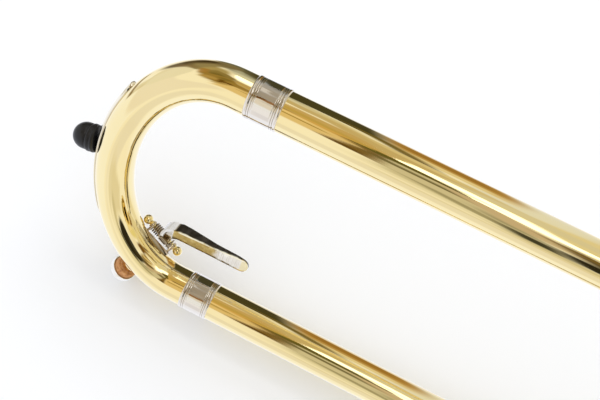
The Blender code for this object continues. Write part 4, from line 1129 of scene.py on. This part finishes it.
def finger_strip():
    """The L section along the lever: strip towards the camera, flange on top
    reaching back, both fading into the rounded tip."""
    top = [(-8.3, 21.9), (-5.5, 22.75), (-1.2, 23.05), (7.5, 23.25), (21.0, 24.35)]
    low = [(-8.3, 17.8), (-5.5, 18.75), (8.7, 18.8), (21.0, 18.75)]
    xs = [-8.3 + 29.3 * i / 40 for i in range(41)]
    rows = []
    for x in xs:
        zt, zb = along(top, x), along(low, x)
        d = 1.12 + (5.5 - 1.12) * max(0.0, 1 - (x + 7.0) / 28.3) if x > -7.0 else 5.5
        tf = 1.15
        rows.append([(x, STRIP_Y, zb), (x, STRIP_Y - 0.12, (zb * 2 + zt) / 3), (x, STRIP_Y - 0.12, (zb + 2 * zt) / 3), (x, STRIP_Y, zt),
                     (x, STRIP_Y + d, zt + 0.05), (x, STRIP_Y + d, zt - tf), (x, STRIP_Y + 1.11, zt - tf - 0.1), (x, STRIP_Y + 1.1, zb)])
    zc, hh = (24.35 + 18.75) / 2, (24.35 - 18.75) / 2
    for k in range(1, 9):
        a = math.pi / 2 * k / 8.5
        x = 21.0 + 3.3 * math.sin(a)
        q = hh * math.cos(a)
        rows.append([(x, STRIP_Y, zc - q), (x, STRIP_Y - 0.12, zc - q / 3), (x, STRIP_Y - 0.12, zc + q / 3), (x, STRIP_Y, zc + q), (x, STRIP_Y + 1.12, zc + q),
                     (x, STRIP_Y + 1.12, zc + q * 0.6), (x, STRIP_Y + 1.11, zc + q * 0.55), (x, STRIP_Y + 1.1, zc - q)])
    m_ = len(rows[0])
    verts = [q for r_ in rows for q in r_]
    faces = []
    for i in range(len(rows) - 1):
        for k in range(m_):
            k2 = (k + 1) % m_
            faces.append((i * m_ + k, i * m_ + k2, (i + 1) * m_ + k2, (i + 1) * m_ + k))
    faces.append(tuple(range(m_))[::-1])
    faces.append(tuple((len(rows) - 1) * m_ + k for k in range(m_)))
    return Shape().add(verts, faces)


lev_w = tool(finger_strip(), "lever")
curl = [(-8.4 + r * math.cos(a), 17.4 + r * math.sin(a)) for r, a in
        [(4.6, math.radians(86 + 104 * k / 20)) for k in range(21)] + [(3.35, math.radians(190 - 104 * k / 20)) for k in range(21)]]
roll_y = STRIP_Y + 0.02 + 2.75
n0, n1 = V(hub_c), V((-8.6, 5.2, 20.6))
more = [tool(Shape().plate(curl, 5.5, place((0, roll_y, 0), (0, -1, 0), (1, 0, 0)), 0.0)),
        tool(Shape().turned([(0, HUB0), (2.1, HUB0), (2.3, HUB0 + 0.2), (2.3, HUB1 - 0.2), (2.1, HUB1), (0, HUB1)], kf, 48, False)),
        tool(Shape().box((2.6, 3.0, (n1 - n0).length), place((n0 + n1) / 2, n1 - n0, key_d), 0.4, 2))]
ap = []
RR = (11.0, 12.0, 13.2, 14.4, 15.4, 16.1, 16.55, 16.6, 16.0)
for i in range(41):
    k = i / 40
    ang = math.radians(42 + (175 - 42) * k)
    j = min(7, int(k * 8))
    rr = RR[j] + (RR[j + 1] - RR[j]) * (k * 8 - j)
    tt = 58.0 + (NIPPLE_T - 58.0) * k
    ap.append(bow_point(tt) - bow_normal(tt) * (rr * math.cos(ang)) + V((0, rr * math.sin(ang), 0)))
p0 = hub_c + out_k * 0.2
ap = [p0.lerp(ap[6], i / 6) for i in range(6)] + ap[6:]
flat = [(math.cos(a) * 1.0, math.sin(a) * 1.0) for a in [2 * math.pi * k / 20 for k in range(20)]]
more.append(tool(Shape().swept(ap, 1.25, 20, section=flat, cap=0.3)))
CUP0 = BOW_R + 2.8
cup = soft([(0, CUP0 + 6.78, 0), (3.4, CUP0 + 6.73, 0.6), (4.6, CUP0 + 6.36, 0.7), (5.15, CUP0 + 5.5, 0.6), (5.25, CUP0 + 4.3, 0.5), (5.25, CUP0 + 3.2, 0.12),
            (4.9, CUP0 + 3.2, 0.1), (4.85, CUP0 + 4.6, 0.1), (0, CUP0 + 4.6, 0)], closed=False)
more.append(tool(Shape().turned(cup, nip_f, 64, False)))
boolean(lev_w, more, 'UNION')
boolean(lev_w, [tool(Shape().turned([(0, -2.5), (1.25, -2.5), (1.25, 6), (0, 6)], kf, 32, False))])
round_edges(lev_w, 0.24, 30, 3)
piece(lev_w, "water_key_lever", FINGER, WK, "water_key_lever", sharp=45)
ck = soft([(0, CUP0 + 0.3, 0), (3.3, CUP0 + 0.3, 0.3), (3.6, CUP0 + 0.5, 0.3), (4.3, CUP0 + 0.42, 0.3), (4.68, CUP0 + 0.8, 0.3), (4.66, CUP0 + 3.3, 0.2), (4.6, CUP0 + 4.3, 0.1),
           (0, CUP0 + 4.3, 0)], closed=False, n=4)
piece(Shape().turned(ck, nip_f, 72, False), "water_key_cork", CORK, WK, "water_key_cork", sharp=50)


# hand braces ----------------------------------------------------------------
def brace(name, x, y0, z0, y1, z1, r0, r1, body, r=3.0, flare=5.5, steps=64, mat=None, rings=True):
    """Turned brace: a flange at each end, a fillet into a slightly waisted
    stem, and a pair of beads round the middle."""
    a, b = V((x, y0, z0)), V((x, y1, z1))
    d = (b - a).normalized()
    length = (b - a).length
    lo_, hi_ = r0 + 0.34, length - r1 - 0.34
    mid = (lo_ + hi_) / 2

    def half_side(h, s):
        p = [(0, h), (flare - 0.15, h), (flare, h + s * 0.15), (flare, h + s * 0.85), (flare - 0.15, h + s * 1.05)]
        run = min(6.0, abs(mid - h) * 0.5)
        for k in range(9):
            t = k / 8
            p.append((r + 0.25 + (flare - 0.9 - r) * (1 - math.sin(t * math.pi / 2)) ** 1.5, h + s * (1.15 + run * t)))
        return p
    prof = half_side(lo_, 1)
    if rings and hi_ - lo_ > 24:
        for c in (mid - 1.15, mid + 1.15):
            prof += [(r - 0.15 + 0.85 * math.sin(math.pi * k / 8), c - 0.85 + 1.7 * k / 8) for k in range(9)]
    prof += half_side(hi_, -1)[::-1]
    return piece(Shape().turned(prof, place(a, d, (1, 0, 0)), steps, False), name, mat or NICKEL, body, name, sharp=32)


BR_X = 600.0
brace("outer_brace", BR_X, 0, 0, 0, SLIDE_W, 8.2, 8.2, OS, 4.6, 8.0)

# ==================================================== INNER SLIDE
IS = "inner_slide"
for side, z in (("lower", LOWER), ("upper", UPPER)):
    m = along_x(0, 0, z)
    p = soft([(INNER_RI, INNER_START, 0.1), (STOCKING_R - 0.25, INNER_START, 0.2), (STOCKING_R, INNER_START + 1.0, 0.4), (STOCKING_R, STOCKING_END, 0.3),
              (INNER_R, STOCKING_END + 1.5, 0.3), (INNER_R, 671.0, 0.1), (INNER_RI, 671.0, 0.1)])
    piece(Shape().turned(p, m, 72), "inner_tube_" + side, CHROME, IS, "inner_tube_" + side, sharp=40)
    b0, b1 = BARREL_X
    p = [(6.65, b1 - 6), (6.65, b1), (8.7, b1), (9.0, b1 - 0.15), (9.25, b1 - 0.6)]
    p += bead(b1 - 1.6, 9.05, 0.65) + [(9.2, b1 - 2.6), (9.42, b1 - 3.2), (9.45, b0 + 18.6)]
    p += bead(b0 + 17.6, 9.12, 0.6) + bead(b0 + 16.2, 9.12, 0.6)
    p += [(9.1, b0 + 15.0), (9.1, b0 + 0.5), (8.98, b0), (8.76, b0), (8.76, b1 - 6)]
    piece(Shape().turned(p, m, 80), "cork_barrel_" + side, NICKEL, IS, "cork_barrel_" + side, sharp=30)
    p = soft([(6.65, OUTER_END + 0.8, 0.1), (8.3, OUTER_END + 0.8, 0.5), (8.3, OUTER_END + 16, 0.5), (6.65, OUTER_END + 16, 0.1)])
    piece(Shape().turned(p, m, 64), "barrel_cork_" + side, CORK, IS, "barrel_cork_" + side, sharp=50)

SL = "slide_lock"
m = along_x(0, 0, UPPER)
p = [(9.62, 623.3), (10.9, 623.0), (11.25, 623.15), (11.35, 623.5)] + bead(624.4, 11.2, 0.5)
p += [(11.15, 625.4), (11.15, 632.2)] + bead(633.2, 11.2, 0.5) + [(11.35, 634.1), (11.2, 634.45), (10.9, 634.5), (9.62, 634.3)]
lock = tool(Shape().turned(p, m, 96), "lock")
diag = V((0, math.sin(math.radians(43)), math.cos(math.radians(43))))
bits = [tool(Shape().box((8.0, 5.0, 2.2), place((628.5, 0, UPPER + 13.6), (0, 1, 0), (1, 0, 0)), 0.9, 4)),
        tool(Shape().box((17.5, 2.4, 1.6), place(V((616.25, 0, UPPER)) + diag * 11.8, diag, (1, 0, 0)), 0.4, 3)),
        tool(Shape().box((2.7, 2.4, 3.5), place(V((608.85, 0, UPPER)) + diag * 10.85, diag, (1, 0, 0)), 0.4, 3))]
boolean(lock, bits, 'UNION')
piece(lock, "slide_lock_ring", NICKEL, SL, "slide_lock_ring", sharp=32)

p = soft([(4.8, 540, 0.1), (5.3, 540, 0.1), (5.3, 756, 0.1), (4.8, 756, 0.1)], closed=True)
piece(Shape().turned(p, along_x(0, 0, UPPER), 56), "leadpipe", BRASS_IN, IS, "leadpipe", sharp=40)

p = [(5.65, 672.3), (8.7, 672.3), (8.85, 672.6), (9.0, 673.6)] + bead(675.0, 8.95, 0.6) + bead(676.5, 8.95, 0.6)
p += [(9.05, 677.8), (9.05, 708.6)] + bead(709.6, 8.98, 0.55) + [(8.85, 710.8), (8.55, 712.4), (8.5, 714.0), (8.5, 767.5), (8.6, 769.2)]
p += bead(770.4, 8.9, 0.75) + [(9.05, 771.6), (9.2, 773.0), (9.2, 776.2), (9.0, 777.2), (8.5, 777.9), (7.6, 778), (7.15, 777.8), (6.75, 770),
                               (6.2, 758), (5.65, 756.6)]
piece(Shape().turned(p, along_x(0, 0, UPPER), 88), "mouthpiece_receiver", NICKEL, IS, "mouthpiece_receiver", sharp=30)

p = [(6.0, 672.3), (8.7, 672.3), (8.85, 672.6), (9.0, 673.6)] + bead(675.0, 8.95, 0.6) + bead(676.5, 8.95, 0.6)
p += [(9.05, 677.8), (9.05, 708.6)] + bead(709.6, 8.98, 0.55) + [(9.2, 711.0), (9.62, 712.6), (9.66, 725.6), (9.9, 726.0), (11.3, 726.0), (11.45, 726.2),
                                                                  (11.45, 728.8), (11.3, 729.0), (9.68, 729.0), (9.66, 747.9), (9.4, 751.6), (9.1, 752.0),
                                                                  (6.7, 752), (6.5, 751.6)]
piece(Shape().turned(p, along_x(), 88), "slide_tenon", NICKEL, IS, "slide_tenon", sharp=30)
brace("inner_brace", 693.0, 0, 0, 0, SLIDE_W, 9.1, 9.1, IS, 4.4, 7.4)

# mouthpiece: cupped rim, bowl, blank with a bead, tapered shank
MP = "mouthpiece"
p = [(12.9, 843.3), (13.3, 843.62), (14.0, 843.95), (15.0, 844.12), (16.0, 844.1), (17.2, 843.7), (18.3, 842.9), (19.1, 841.6), (19.42, 840.0),
     (19.4, 838.2), (19.0, 836.6), (18.2, 835.2), (17.4, 833.6), (16.7, 830.8), (15.9, 827.2), (14.9, 823.2), (13.6, 819.0), (12.1, 815.8),
     (10.4, 812.6), (8.9, 810.2), (7.9, 808.0), (7.1, 805.6), (6.8, 803.6), (6.8, 802.0), (7.2, 801.2), (7.5, 800.4), (7.55, 799.2), (7.5, 798.0),
     (7.2, 797.2), (6.7, 796.4), (6.5, 795.0), (6.42, 790.0), (6.45, 781.0), (6.3, 779.2), (5.55, 761.2), (5.4, 760.5), (4.95, 760.1), (4.6, 763),
     (3.6, 790), (3.4, 800), (3.4, 806), (3.7, 808.4), (4.6, 811), (6.4, 815), (8.8, 819.6), (10.6, 824.6), (11.7, 830), (12.3, 836), (12.6, 841.5)]
piece(Shape().turned(p, along_x(0, 0, UPPER), 96), "mouthpiece", SILVER, MP, "mouthpiece", sharp=35)


def knurled(name, r_top, x0, x1, flutes):
    """A ring with rounded flutes cut along it, as the lock nut has."""
    s = Shape()
    steps = flutes * 8
    rows = []
    prof = [(10.2, 722.2, 0), (13.2, 722.0, 0), (13.9, 722.5, 1), (14.15, 723.4, 1), (14.15, 727.6, 1), (13.9, 728.4, 0.4), (13.5, 728.9, 0), (13.45, 738.7, 0),
            (13.8, 739.2, 0), (14.05, 739.8, 0), (14.05, 741.8, 0), (13.8, 742.6, 0), (13.3, 742.95, 0), (12.2, 742.8, 0), (12.17, 725.62, 0), (10.2, 725.58, 0)]
    for r, h, k in prof:
        row = []
        for i in range(steps):
            a = 2 * math.pi * i / steps
            dip = 0.55 * k * (0.5 - 0.5 * math.cos(a * flutes)) ** 2
            row.append(((r - dip) * math.cos(a), (r - dip) * math.sin(a), h))
        rows.append(row)
    verts = [q for row in rows for q in row]
    faces = []
    n = len(rows)
    for i in range(n):
        j = (i + 1) % n
        for k in range(steps):
            k2 = (k + 1) % steps
            faces.append((i * steps + k, i * steps + k2, j * steps + k2, j * steps + k))
    return s.add(verts, faces, along_x())


piece(knurled("lock_nut", 14.2, 722, 743, 30), "lock_nut", BRASS, "lock_nut", "lock_nut", sharp=40)

# ==================================================== BELL SECTION
BS = "bell_section"
p = [(10.2, 729.45), (11.4, 729.45), (11.6, 729.7), (11.62, 746.4), (11.9, 747.0), (12.3, 747.6)] + bead(748.9, 12.2, 0.65)
p += [(12.25, 750.2), (12.25, 767.4)] + bead(768.6, 12.15, 0.7) + [(12.0, 769.8), (11.2, 771.2), (10.5, 772.3), (9.6, 773.6), (9.2, 774), (7.1, 774), (7.0, 773.6),
                                                                   (7.0, 756), (10.15, 754)]
piece(Shape().turned(p, along_x(), 88), "bell_receiver", NICKEL, BS, "bell_receiver", sharp=30)

PORTS = {"A": 135, "B": 45, "C": -45, "D": -135}
RC = V((ROTOR_X, ROTOR_Y, 0))


def port_dir(key):
    a = math.radians(PORTS[key])
    return V((math.cos(a), math.sin(a), 0))


def at_port(key, reach):
    return RC + port_dir(key) * reach


wall = [(CASING_RI, -15.2), (CASING_RI, 18.0), (17.7, 18.25), (18.3, 18.3), (18.7, 18.0), (19.0, 17.4), (19.7, 17.1), (19.95, 16.6), (19.95, 14.6), (19.7, 14.1), (19.35, 13.8),
        (19.35, -13.8), (19.7, -14.1), (19.95, -14.6), (19.95, -16.8), (19.7, -17.5), (19.0, -18.0), (15.2, -18.1), (15.0, -18.4), (14.9, -19.9), (14.6, -20.2),
        (4.2, -20.2), (3.5, -19.9), (3.5, -15.2)]
casing = tool(Shape().turned(wall, along_z(ROTOR_X, ROTOR_Y), 112), "casing")
st, bo = [], []
for k in PORTS:
    fr = place(RC, port_dir(k), (0, 0, 1))
    prof = [(0, 16.0), (7.2, 16.0), (7.2, 20.6)] + [(7.2 + 0.45 * math.sin(math.pi * q / 8), 20.8 + 1.1 * q / 8) for q in range(9)]
    prof += [(7.2, 22.2), (7.62, 22.5), (7.66, 22.8), (7.66, STUB - 0.25), (7.5, STUB - 0.02), (7.3, STUB), (0, STUB)]
    st.append(tool(Shape().turned(prof, fr, 56, False)))
    bo.append(tool(Shape().turned([(0, 10), (6.35, 10), (6.35, STUB + 6), (0, STUB + 6)], fr, 48, False)))
boolean(casing, st, 'UNION')
boolean(casing, bo)
piece(casing, "rotor_casing", BRASS, BS, "rotor_casing", sharp=32)
p = soft([(3.5, 15.6, 0.1), (17.0, 15.6, 0.2), (17.0, 17.95, 0.3), (3.5, 17.95, 0.2)])
piece(Shape().turned(p, along_z(ROTOR_X, ROTOR_Y), 72), "rotor_bearing_plate", BRASS, BS, "rotor_bearing_plate", sharp=40)
p = [(0, 23.45), (3.0, 23.45), (5.6, 23.3), (6.0, 23.05), (6.3, 22.8), (8.0, 22.95), (11.0, 22.9), (13.6, 22.5), (15.8, 21.9), (17.0, 21.35), (17.2, 21.2)]
p += [(17.35, 21.25), (17.7, 21.2), (18.2, 20.7), (18.3, 20.2), (18.3, 18.7), (18.1, 18.4), (16.6, 18.4), (16.5, 18.6), (16.5, 20.2), (0, 20.2)]
cap = tool(Shape().turned(p, along_z(ROTOR_X, ROTOR_Y), 96, False), "cap")
notches = []
for i in range(36):
    a = 2 * math.pi * i / 36
    notches.append(Shape().box((0.9, 0.75, 3.4), place((ROTOR_X + 18.4 * math.cos(a), ROTOR_Y + 18.4 * math.sin(a), 19.6), (0, 0, 1), (math.cos(a), math.sin(a), 0)), 0.0))
grip = Shape()
for nt in notches:
    grip.add(nt.v, nt.f)
boolean(cap, [tool(grip)])
piece(cap, "rotor_cap", NICKEL, BS, "rotor_cap", sharp=32)
for nm, a in (("stop_cork_rest", 161.5), ("stop_cork_thrown", 18.5)):
    aa = math.radians(a)
    p = soft([(0, -25.0, 0), (2.3, -25.0, 0.35), (2.3, -20.5, 0.2), (0, -20.5, 0)], closed=False)
    piece(Shape().turned(p, along_z(ROTOR_X + 11.0 * math.cos(aa), ROTOR_Y + 11.0 * math.sin(aa)), 40, False), nm, RUBBER, BS, nm, sharp=50)


def dense(path, per=14):
    """Smooths a control path with a Catmull-Rom spline."""
    out = []
    n = len(path)
    for i in range(n - 1):
        p0, p1, p2, p3 = path[max(i - 1, 0)], path[i], path[i + 1], path[min(i + 2, n - 1)]
        for k in range(per):
            t = k / per
            out.append(0.5 * ((2 * p1) + (p2 - p0) * t + (2 * p0 - 5 * p1 + 4 * p2 - p3) * t * t + (3 * p1 - p0 - 3 * p2 + p3) * t ** 3))
    out.append(path[-1])
    return out


neck = [V((774.5, 0, 0))] + bezier((778, 0, 0), (1, 0, 0), at_port("A", STUB + 2.3), -port_dir("A"), 36, 0.36)
neck.append(at_port("A", STUB + 0.35))
piece(Shape().swept(neck, F_R, 72, wall=0.7), "neckpipe", BRASS, BS, "neckpipe", sharp=50)
goose = [at_port("B", STUB + 0.35)] + bezier(at_port("B", STUB + 2.3), port_dir("B"), (882, 0, 0), (1, 0, 0), 36, 0.36)
goose += line((884, 0, 0), (944.5, 0, 0), 12)
glen = [0.0]
for a, b in zip(goose, goose[1:]):
    glen.append(glen[-1] + (b - a).length)
piece(Shape().swept(goose, [7.4 + 0.9 * g / glen[-1] for g in glen], 72, wall=0.6), "gooseneck", BRASS, BS, "gooseneck", sharp=50)


def sleeve(name, r_in, r_out, x0, x1, y, body=BS, beads=True):
    p = [(r_in, x0), (r_out - 0.35, x0), (r_out - 0.1, x0 + 0.2), (r_out - 0.02, x0 + 0.7)]
    if beads:
        for c in (x0 + 1.6, x0 + 2.9):
            p += [(r_out - 0.12 + 0.12 * math.sin(math.pi * q / 6), c - 0.5 + q / 6) for q in range(7)]
        p += [(r_out - 0.18, x0 + 3.8), (r_out - 0.18, x1 - 4.6)]
        p += [(r_out - 0.14 + 0.14 * math.sin(math.pi * q / 6), x1 - 3.9 + q / 6) for q in range(7)]
    else:
        p += [(r_out - 0.1, x1 - 3.0)]
    p += [(r_out - 0.06, x1 - 2.2), (r_out, x1 - 1.8), (r_out, x1 - 0.5), (r_out - 0.2, x1 - 0.1), (r_in + 0.1, x1), (r_in, x1 - 0.2)]
    return piece(Shape().turned(p, along_x(0, y, 0), 80), name, NICKEL, body, name, sharp=30)


sleeve("tuning_sleeve_valve_side", 8.35, 9.0, 944.8, 1020.0, 0.0)
sleeve("tuning_sleeve_bell_side", 10.35, 11.1, BELL_TAIL + 0.4, 1020.0, -BELL_D)


def bell_radius(d):
    return BELL_R * (1 + d / 33.4) ** -0.8


def bell_normal(d):
    e = 0.5
    dr = (bell_radius(d + e) - bell_radius(d - e)) / (2 * e)
    ln = math.hypot(1, dr)
    return (1 / ln, -dr / ln)


bd = [2.6 + (BELL_TAIL - BELL_X - 2.6) * (k / 90) ** 2.2 for k in range(91)]
outer, inner = [], []
for d in bd:
    r = bell_radius(d)
    nr, nd = bell_normal(d)
    outer.append((r, d))
    inner.append((r - BELL_WALL, d) if d == bd[-1] else (r - nr * BELL_WALL, d - nd * BELL_WALL))
# the rim is rolled over a wire
rc, rr = (107.9, 1.62), 1.55
rim = [(rc[0] + rr * math.cos(a), rc[1] + rr * math.sin(a)) for a in [math.radians(58 - 14 * k) for k in range(17)]]
bell_profile = outer[::-1] + [q for q in rim if q[0] > 106.6] + inner
bell = Shape().turned([q for q in bell_profile], along_x(BELL_X, -BELL_D, 0), 160)
piece(bell, "bell", BRASS, BS, "bell", sharp=50)
brace("bell_brace", 760.0, 0, 0, -BELL_D, 0, 12.5, bell_radius(753.5 - BELL_X) + 0.6, BS, 3.1, 6.1)

# F attachment
p_d = at_port("D", STUB + 2.3)
cd = p_d + V((math.cos(math.radians(-45)), math.sin(math.radians(-45)), 0)) * 20.0
entry = [at_port("D", STUB + 0.35)] + arc(cd, 20.0, 135, 270, 44, (1, 0, 0), (0, 1, 0))
entry += line((841.5, F_LEG_D, 0), (869.7, F_LEG_D, 0), 4) if cd.x < 840 else line((cd.x + 3, F_LEG_D, 0), (869.7, F_LEG_D, 0), 4)
piece(Shape().swept(entry, F_R, 64, wall=0.7), "f_entry_tube", BRASS, BS, "f_entry_tube", sharp=50)
sleeve("f_slide_sleeve_inner", 7.6, 8.3, 870.0, 944.0, F_LEG_D)
sleeve("f_slide_sleeve_outer", 7.6, 8.3, 870.0, 944.0, F_LEG_E)
Z_HI = 30.0
Y_HI = -58.0
c1a, c1b = V((800, F_LEG_E, 0)), V((800, Y_HI, Z_HI))
cc = (c1a + c1b) / 2
uu = (c1a - c1b).normalized()
cross = line((869.7, F_LEG_E, 0), (803, F_LEG_E, 0), 4)
cross += arc(cc, (c1a - c1b).length / 2, 0, 180, 60, uu, (-1, 0, 0))
split_x = 905.0
cross += line((803, Y_HI, Z_HI), (split_x, Y_HI, Z_HI), 6)
piece(Shape().swept(cross, F_R, 64, wall=0.7), "f_crossover_front", BRASS, BS, "f_crossover_front", sharp=50)
c2a, c2b = V((1008, Y_HI, Z_HI)), V((1008, F_LEG_C, 0))
c2 = (c2a + c2b) / 2
u2 = (c2a - c2b).normalized()
back_p = line((split_x + 0.3, Y_HI, Z_HI), (1005, Y_HI, Z_HI), 6)
back_p += arc(c2, (c2a - c2b).length / 2, 0, 180, 52, u2, (1, 0, 0))
back_p += line((1004, F_LEG_C, 0), (890, F_LEG_C, 0), 6)
back_p += bezier((886, F_LEG_C, 0), (-1, 0, 0), at_port("C", STUB + 2.3), -port_dir("C"), 30, 0.36)
back_p.append(at_port("C", STUB + 0.35))
piece(Shape().swept(back_p, F_R, 64, wall=0.7), "f_crossover_rear", BRASS, BS, "f_crossover_rear", sharp=50)
brace("f_brace_valve_side", 925.0, 0, 0, F_LEG_C, 0, 8.3, F_R, BS, 2.2, 4.1, rings=False)
brace("f_brace_bell_side", 905.0, F_LEG_E, 0, -BELL_D, 0, 8.3, bell_radius(900.5 - BELL_X) + 0.5, BS, 2.5, 4.5, rings=False)

FS = "f_tuning_slide"
fr = (F_LEG_D - F_LEG_E) / 2
fpath = line((876, F_LEG_D, 0), (947, F_LEG_D, 0), 6)
fpath += arc((950, (F_LEG_D + F_LEG_E) / 2, 0), fr, 90, -90, 52, (1, 0, 0), (0, 1, 0))
fpath += line((947, F_LEG_E, 0), (876, F_LEG_E, 0), 6)
piece(Shape().swept(fpath, 7.0, 64, wall=0.6), FS, BRASS, FS, FS, sharp=50)

# main tuning slide
MS = "main_tuning_slide"
for nm, y, ri, ro in (("tuning_leg_valve_side", 0.0, 7.3, 9.6), ("tuning_leg_bell_side", -BELL_D, 9.2, 11.4)):
    leg_r = 7.86 if y == 0.0 else 9.86
    p = [(ri, 956.2), (leg_r - 0.2, 956), (leg_r, 956.3), (leg_r, 1020.6), (ro - 0.5, 1020.6), (ro - 0.3, 1020.9)]
    p += [(ro - 0.32 + 0.3 * math.sin(math.pi * q / 6), 1021.6 + q / 6 * 1.2) for q in range(7)]
    p += [(ro - 0.35, 1023.4), (ro - 0.32, 1025.4)]
    p += [(ro - 0.3 + 0.28 * math.sin(math.pi * q / 6), 1026.0 + q / 6 * 1.2) for q in range(7)]
    p += [(ro - 0.35, 1027.8), (ro - 0.38, 1030.2), (ro - 0.55, 1030.8), (ri + 0.1, 1031), (ri, 1030.8)]
    piece(Shape().turned(p, along_x(0, y, 0), 80), nm, NICKEL, MS, nm, sharp=30)
crook = [V((1031.4, 0, 0))] + arc((1033.0, -BELL_D / 2, 0), BELL_D / 2, 90, -90, 96, (1, 0, 0), (0, 1, 0))
crook += [V((1031.4, -BELL_D, 0))]
piece(Shape().swept(crook, [8.6 + 1.9 * i / (len(crook) - 1) for i in range(len(crook))], 80, wall=0.6), "tuning_crook", BRASS, MS,
      "tuning_crook", sharp=50)
x_br = 1054.0
half = math.sqrt((BELL_D / 2) ** 2 - (x_br - 1033.0) ** 2)
ym = -BELL_D / 2
brace("tuning_brace", x_br, ym + half, 0, ym - half, 0, 10.9, 12.7, MS, 2.6, 4.3)

# rotor
p = soft([(0, -20.9, 0), (3.0, -20.9, 0.2), (3.0, -14.8, 0.2), (ROTOR_R, -14.8, 0.3), (ROTOR_R, 15.2, 0.3), (3.0, 15.2, 0.2), (3.0, 19.6, 0.2), (0, 19.6, 0)],
         closed=False)
rotor = tool(Shape().turned(p, along_z(ROTOR_X, ROTOR_Y), 96, False), "rotor")
ch = []
for a in (90, -90):
    ctr = RC + V((0, math.sin(math.radians(a)), 0)) * (ROTOR_R * math.sqrt(2))
    mid = -90 if a > 0 else 90
    ch.append(tool(Shape().swept(arc(ctr, ROTOR_R, mid - 62, mid + 62, 28, (1, 0, 0), (0, 1, 0)), 6.2, 40, cap=0.02)))
boolean(rotor, ch)
piece(rotor, "rotor", BRASS_IN, "rotor", "rotor", sharp=40)

a_rest = math.radians(-45)
arm_end = RC + V((math.cos(a_rest), math.sin(a_rest), 0)) * 10.0
lug_end = RC - V((math.cos(a_rest), math.sin(a_rest), 0)) * 11.0
stop = tool(Shape().plate(capsule(RC, arm_end, 4.6, 2.8), 3.2, along_z(0, 0, -22.9), 0.3, 2), "stop")
boolean(stop, [tool(Shape().plate(capsule(RC, lug_end, 3.6, 2.0), 3.0, along_z(0, 0, -22.9), 0.3, 2)),
               tool(Shape().turned(soft([(0, -24.9, 0), (2.6, -24.9, 0.3), (2.9, -24.3, 0.2), (2.9, -23.6, 0), (0, -23.6, 0)], closed=False), along_z(RC.x, RC.y), 40, False))],
        'UNION')
piece(stop, "stop_arm", NICKEL_WORN, "rotor", "stop_arm", sharp=35)

PIV = V((786.0, 1.5, 0))
sad = tool(Shape().box((12, 11, 15.5), along_z(PIV.x, PIV.y, -12.0), 1.0, 3), "lever_saddle")
boolean(sad, [tool(Shape().swept([V((765, 0, 0))] + neck[1:], F_R + 0.35, 48, cap=0.02)),
              tool(Shape().turned([(0, -25), (2.4, -25), (2.4, -11), (0, -11)], along_z(PIV.x, PIV.y), 40, False))])
piece(sad, "lever_saddle", BRASS, BS, "lever_saddle", sharp=35)
p = soft([(0, -11.6, 0), (2.0, -11.6, 0.1), (2.0, -25.3, 0.1), (3.8, -25.3, 0.15), (3.8, -26.5, 0.3), (2.7, -27.35, 0.4), (0, -27.4, 0)], closed=False)
scr = tool(Shape().turned(p, along_z(PIV.x, PIV.y), 56, False), "scr")
boolean(scr, [tool(Shape().box((9.0, 0.7, 1.6), along_z(PIV.x, PIV.y, -27.5), 0.0))])
piece(scr, "lever_pivot_screw", NICKEL, BS, "lever_pivot_screw", sharp=35)
TL = "thumb_lever"
ARM = 34.0
a_l = math.radians(-90 + 12)
lev_end = PIV + V((math.cos(a_l), math.sin(a_l), 0)) * ARM
pad = V((761.0, -12.6, 0))
ZL = -22.9
lev = tool(Shape().plate(capsule(PIV, lev_end, 5.2, 2.9), 2.6, along_z(0, 0, ZL), 0.45, 3), "thumb")
boolean(lev, [tool(Shape().plate(capsule(PIV, pad, 4.2, 3.4), 2.4, along_z(0, 0, ZL), 0.45, 3)),
              tool(Shape().turned(soft([(0, 1.5, 0), (5.0, 1.45, 1.0), (8.0, 1.1, 0.6), (8.9, 0.4, 0.4), (8.9, -0.4, 0.3), (8.2, -0.8, 0.3), (0, -1.4, 0)], closed=False, n=4),
                                  place((756.0, -14.2, ZL - 1.2), (0.15, -0.92, 0.35), (1, 0, 0)), 72, False)),
              tool(Shape().turned(soft([(0, -30.4, 0), (1.4, -30.4, 0.3), (1.4, -22.0, 0), (0, -22.0, 0)], closed=False), along_z(lev_end.x, lev_end.y), 32, False))],
        'UNION')
boolean(lev, [tool(Shape().turned([(0, -30), (2.4, -30), (2.4, -18), (0, -18)], along_z(PIV.x, PIV.y), 40, False))])
piece(lev, "thumb_lever", NICKEL_WORN, TL, "thumb_lever", sharp=35)
ZR = -27.9
lrod = tool(Shape().swept(line((lev_end.x + 2.4, lev_end.y, ZR), (arm_end.x - 2.4, arm_end.y, ZR), 10), 1.25, 32, cap=0.2), "lrod")
boolean(lrod, [tool(Shape().turned(soft([(0, -29.4, 0), (3.35, -29.4, 0.4), (3.35, -26.25, 0.4), (0, -26.25, 0)], closed=False), along_z(lev_end.x, lev_end.y), 48, False)),
               tool(Shape().turned(soft([(0, -29.4, 0), (3.15, -29.4, 0.4), (3.15, -26.45, 0.4), (0, -26.45, 0)], closed=False), along_z(arm_end.x, arm_end.y), 48, False))],
        'UNION')
boolean(lrod, [tool(Shape().turned([(0, -32), (1.8, -32), (1.8, -24), (0, -24)], along_z(lev_end.x, lev_end.y), 32, False))])
piece(lrod, "linkage_rod", NICKEL, "linkage_rod", "linkage_rod", sharp=35)
